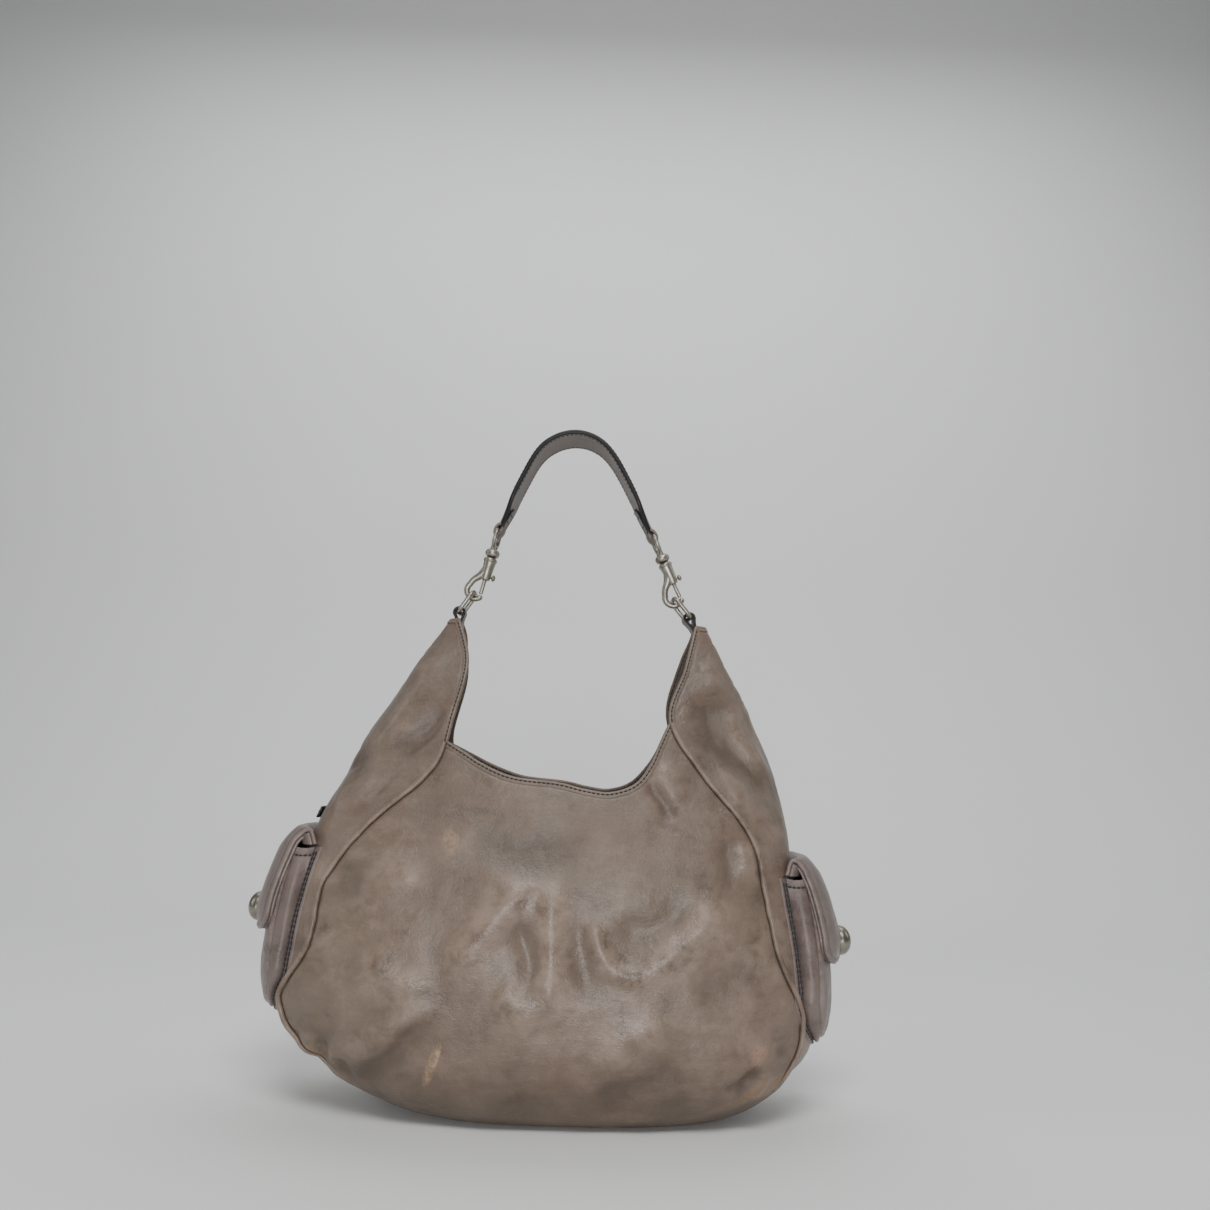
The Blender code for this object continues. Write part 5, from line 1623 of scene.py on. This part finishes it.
def round_start(path, radii):
    """Lengthen a wire's path with a rounded tip at its start."""
    t = np.radians([84, 68, 48, 25])[:, None]
    tips = path[0] + unit(path[0] - path[1]) * radii[0] * np.sin(t)
    return np.concatenate([tips, path]), np.concatenate([radii[0] * np.cos(t[:, 0]), radii])


def hook_body(label):
    """The cast hook: bight, neck and barrel with the bolt's bore and the knob's slot."""
    place = hook_matrix(label)
    arc = [(BIGHT_R * math.sin(a), 0, BIGHT_R * (1 - math.cos(a)))
           for a in np.radians(np.linspace(46, -122, 40))]
    neck = [(-4.7, 0, 13.2), (-3.0, 0, 15.9), (-0.6, 0, 18.4), (1.6, 0, 21.2), (3.2, 0, 25.0)]
    path = smooth_line(arc + neck, 70)
    share = np.linspace(0, 1, 70)
    radii = 2.2 + 0.30 * ease((share - 0.25) / 0.25) + 1.1 * ease((share - 0.60) / 0.40)
    wire = tube_parts(*round_start(path, radii), (0, 1, 0), 24)
    barrel = rounded([(0, 16.8), (3.6, 16.8), (4.1, 20), (4.5, 27), (4.9, 31.6), (5.5, 32.2),
                      (5.5, 34.0), (4.7, 34.9), (1.7, 35.2), (1.7, 42.9), (3.2, 43.0), (2.6, 44.6),
                      (0, 45.0)], 0.5)
    bore = lathe_parts([(0, 14), (BORE_R, 14), (BORE_R, 31), (0, 31)], 36, (BARREL_X, 0))
    slot = block_parts((BARREL_X, -1.15, KNOB_Z - 1.5), (BARREL_X + 7, 1.15, KNOB_Z + 6.5), 0.6)
    body = make_nickel("hook_cast_" + label, moved(lathe_parts(barrel, 48, (BARREL_X, 0)), place),
                       "hook_" + label, "hook_body_" + label)
    carve(body, ("UNION", moved(wire, place)), ("DIFFERENCE", moved(bore, place)),
          ("DIFFERENCE", moved(slot, place)))
    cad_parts["bolt_spring_" + label].material_slots[0].material = STEEL


def hook_bolt(label):
    """The spring bolt with its thumb knob."""
    rod = rounded([(0, 5.0), (BOLT_R, 5.0), (BOLT_R, 24.5), (0, 24.5)], 0.7)
    knob = rounded([(0, 0), (0.85, 0), (0.85, 4.0), (1.5, 4.3), (2.3, 4.8), (2.75, 5.6), (2.3, 6.5),
                    (1.3, 7.1), (0, 7.2)], 0.3)
    side = (Matrix.Translation((BARREL_X + 0.6, 0, KNOB_Z))
            @ Matrix.Rotation(math.radians(90), 4, "Y"))
    parts = merge(lathe_parts(rod, 32, (BARREL_X, 0)), moved(lathe_parts(knob, 32), side))
    make_nickel("bolt_and_knob_" + label, moved(parts, hook_matrix(label)), "bolt_" + label,
                "hook_bolt_" + label)


def swivel_eye(label):
    """The ball-shaped collar that the hook turns in, with the strap's eye."""
    collar = [(2.1, 35.7), (3.9, 35.7)] + [
        (2.6 + 3.3 * math.cos(t), 39.1 + 3.4 * math.sin(t))
        for t in np.radians(np.linspace(-74, 66, 16))] + [(2.9, 42.6), (2.1, 42.6)]
    half, low, corner = EYE_HALF, 40.4, 4.2
    side = [(-3.0, low), (-4.6, low + 2.8), (-half + 1.8, low + 6.0), (-half + 0.1, low + 9.2)]
    side += [(-half + corner * (1 - math.cos(t)), EYE_BAR_Z - corner * (1 - math.sin(t)))
             for t in np.radians(np.linspace(0, 90, 9))]
    path = smooth_line([(BARREL_X, y, z) for y, z in side]
                       + [(BARREL_X, -y, z) for y, z in side[::-1]], 100)
    ends = np.abs(np.linspace(-1, 1, 100))
    radii = EYE_R + 0.7 * ease((ends - 0.76) / 0.24)
    parts = merge(lathe_parts(collar, 48, (BARREL_X, 0)),
                  tube_parts(path, radii, (1, 0, 0), 24))
    make_nickel("collar_and_eye_" + label, moved(parts, hook_matrix(label)), "handle",
                "swivel_eye_" + label)


def upright(place, forward, up):
    """A matrix at (x, z) whose Y axis is forward and whose Z axis is up."""
    turn = Matrix((forward.cross(up), forward, up)).transposed().to_4x4()
    return Matrix.Translation((place[0], 0, place[1])) @ turn


def ring_place(label):
    """A ring's frame in millimetres: origin in its keeper, Y along its bars, Z to the hook."""
    lean, twist, offset, slack = RINGS[label]
    bight_rise = BIGHT_R - math.sqrt(BIGHT_R**2 - offset**2)
    top = hook_point(label, offset, WIRE_R + slack + RING_R + bight_rise)
    lean = math.radians(lean)
    up = Vector((-math.sin(lean), 0, math.cos(lean)))
    foot = (top[0] - RING_LONG * up.x, top[1] - RING_LONG * up.z)
    return (upright(foot, Vector((0, 1, 0)), up)
            @ Matrix.Rotation(math.radians(twist), 4, "Z"))


def strap_ring(label):
    """The oblong ring between a keeper and a hook."""
    middle = RING_LONG / 2
    path = [(0, y, middle + z) for y, z in loop_points(RING_HALF, middle, 5.0, 13)]
    wire = tube_parts(path, RING_R, (1, 0, 0), 24, True)
    make_nickel("ring_wire_" + label, moved(wire, ring_place(label)), "ring_" + label,
                "strap_ring_" + label)


def keeper(label):
    """The doubled leather tab round a ring's lower bar, sewn into a horn."""
    ring = ring_place(label)
    bar = np.array([ring.translation.x, ring.translation.z])
    rise = bar - KEEPER_FOOT[label]
    reach = np.linalg.norm(rise)
    forward = ring.to_3x3() @ Vector((0, 1, 0))
    up = Vector((rise[0], 0, rise[1])).normalized()
    up = (up - up.dot(forward) * forward).normalized()
    ply = KEEPER_THICK / 4
    half = [(ply, 0, -reach), (ply, 0, -reach / 2 - 4), (ply + 0.5, 0, -7.2)]
    loop = [((LOOP_R - ply) * math.cos(t), 0, (LOOP_R - ply) * math.sin(t))
            for t in np.radians(np.linspace(-38, 218, 25))]
    path = smooth_line(half + loop + [(-x, y, z) for x, y, z in half[::-1]], 90)
    section, edge = slab_section(ply, KEEPER_HALF, 0.7)
    points, _ = moved((path, None), upright(bar, forward, up))
    strip("keeper_leather_" + label, points, tuple(forward), section, edge, "bag",
          ["ring_keeper_" + label])


def strap_band(path, half, by_end):
    """The doubled leather band, cupped a little and more so towards its ends."""
    sections = []
    for wide, share in zip(half, by_end):
        section, edge = slab_section(STRAP_THICK / 2, wide, 1.25, 12)
        section[:, 0] -= (0.5 + 2.4 * share) * (section[:, 1] / wide) ** 2 - 0.8 * share
        sections.append(section)
    strip("strap_band", path, (0, 1, 0), sections, edge, "handle", ["strap"])


def edge_stitches(path, out, half, keep):
    """The rows along both edges of the band, on both of its faces."""
    rows = []
    for side in (2.9 - half, half - 2.9):
        for face in (-1, 1):
            row = path + out * (face * (STRAP_THICK / 2) - 0.5 * (side / half) ** 2)[:, None]
            row[:, 1] += side
            rows.append(stitch_parts(row[keep], face * out[keep], 3.6, 2.6, 0.30))
    return rows


def strap_loop(label, bar, knot):
    """The narrow end that goes round an eye's bar, towards the first or last knot of the band."""
    t = np.linspace(0, math.tau, 40, endpoint=False)[:, None]
    knot = unit(knot - bar)
    across = np.array([knot[1], -knot[0]])
    flat = bar + 1.4 * knot + 3.5 * np.cos(t) * across + 5.4 * np.sin(t) * knot
    section, edge = slab_section(1.15, STRAP_END_WIDE / 2 - 0.2, 0.8)
    section[:, 0] += 0.8 * (section[:, 1] / 6) ** 2
    strip("strap_loop_" + label, np.insert(flat, 1, 0, axis=1), (0, 1, 0), section,
          np.zeros_like(edge), "handle", closed=True)


def strap_tail(label, path, out, start, reach):
    """The end sewn back under the band, from start to reach along it. Returns its stitches."""
    share = np.linspace(0, 1, 30)
    where = np.interp(np.linspace(start, reach, 30), lengths(path), np.arange(len(path)))
    low = np.floor(where).astype(int)
    part = (where - low)[:, None]
    lift = STRAP_THICK / 2 + 0.9 + 1.2 * ease((share - 0.72) / 0.28) - hump(share, 0.3)
    tail = path[low] * (1 - part) + path[low + 1] * part - out[low] * lift[:, None]
    section, edge = slab_section(0.9, STRAP_END_WIDE / 2 - 0.6, 0.5)
    strip("strap_tail_" + label, tail, (0, 1, 0), section, edge, "handle")
    rows = []
    for at in (8, 20):
        row = np.tile(tail[at], (12, 1)) - out[low[at]] * 0.9
        row[:, 1] = np.linspace(1.8 - STRAP_END_WIDE / 2, STRAP_END_WIDE / 2 - 1.8, 12)
        rows.append(stitch_parts(row, np.tile(-out[low[at]], (12, 1)), 3.2, 2.4, 0.42))
    return rows


def strap():
    """The shoulder strap, whose narrowed ends fold round the eyes and are sewn back."""
    bars = [hook_point(label, BARREL_X, EYE_BAR_Z) for label in HOOKS]
    ends = [bar + (LOOP_R - 1.2) * unit(knot - bar) for bar, knot in zip(bars, STRAP_LINE[[0, -1]])]
    knots = np.vstack([ends[0], STRAP_LINE, ends[1]])
    line = smooth_rows(knots, np.linspace(0, len(knots) - 1, 221))
    path = np.insert(line, 1, 0, axis=1)
    run = lengths(path)
    near = np.minimum(run, run[-1] - run)
    half = (STRAP_END_WIDE + (STRAP_WIDE - STRAP_END_WIDE) * ease(near / STRAP_TAPER) ** 0.8) / 2
    out = np.cross(tangents(path), (0.0, 1.0, 0.0))
    strap_band(path, half, 1 - ease(near / 34))
    rows = edge_stitches(path, out, half, near > STRAP_TAPER + 4)
    strap_loop("left", bars[0], STRAP_LINE[0])
    rows += strap_tail("left", path, out, 2, 17)
    strap_loop("right", bars[1], STRAP_LINE[-1])
    rows += strap_tail("right", path[::-1], out[::-1], 2.25, 22.6)
    sew("strap_stitches", rows, "handle")


def side_plate():
    """The small plain plate riveted on above the left pocket."""
    centre = node_box("side_plate").mean(0)
    _, normals = side_leather(-1, np.array([0.0]), centre[2:])
    lean = math.atan2(normals[0][2], -normals[0][0])
    parts = [block_parts((-0.8, -13, -4.5), (0.8, 13, 4.5), 0.6)]
    rivet = lathe_parts([(0, 0), (1.6, 0), (1.4, 0.5), (0.8, 0.85), (0, 0.95)], 24)
    for y in (-9.5, 9.5):
        turn = Matrix.Translation((-0.7, y, 0)) @ Matrix.Rotation(math.radians(-90), 4, "Y")
        parts.append(moved(rivet, turn))
    place = Matrix.Translation(centre) @ Matrix.Rotation(lean, 4, "Y")
    make("plate", moved(merge(*parts), place), PLATE, "bag", ["side_plate"])


camera()
backdrop()
lights()
panels()
gussets()
welts()
mouth_edge(*rim_frame())
mouth_stitches(*rim_frame())
lining()
facing()
magnets()
zip_closure()
zip_slider()
for label, (side, drop) in POCKETS.items():
    pocket_face(label, side, drop)
    sew("pocket_stitches_" + label,
        pocket_strip(label, side, drop) + pocket_flange(label, side, drop))
    flap(label, side, drop)
    studs(label, side)
for label in HOOKS:
    hook_body(label)
    hook_bolt(label)
    swivel_eye(label)
    strap_ring(label)
    keeper(label)
strap()
side_plate()
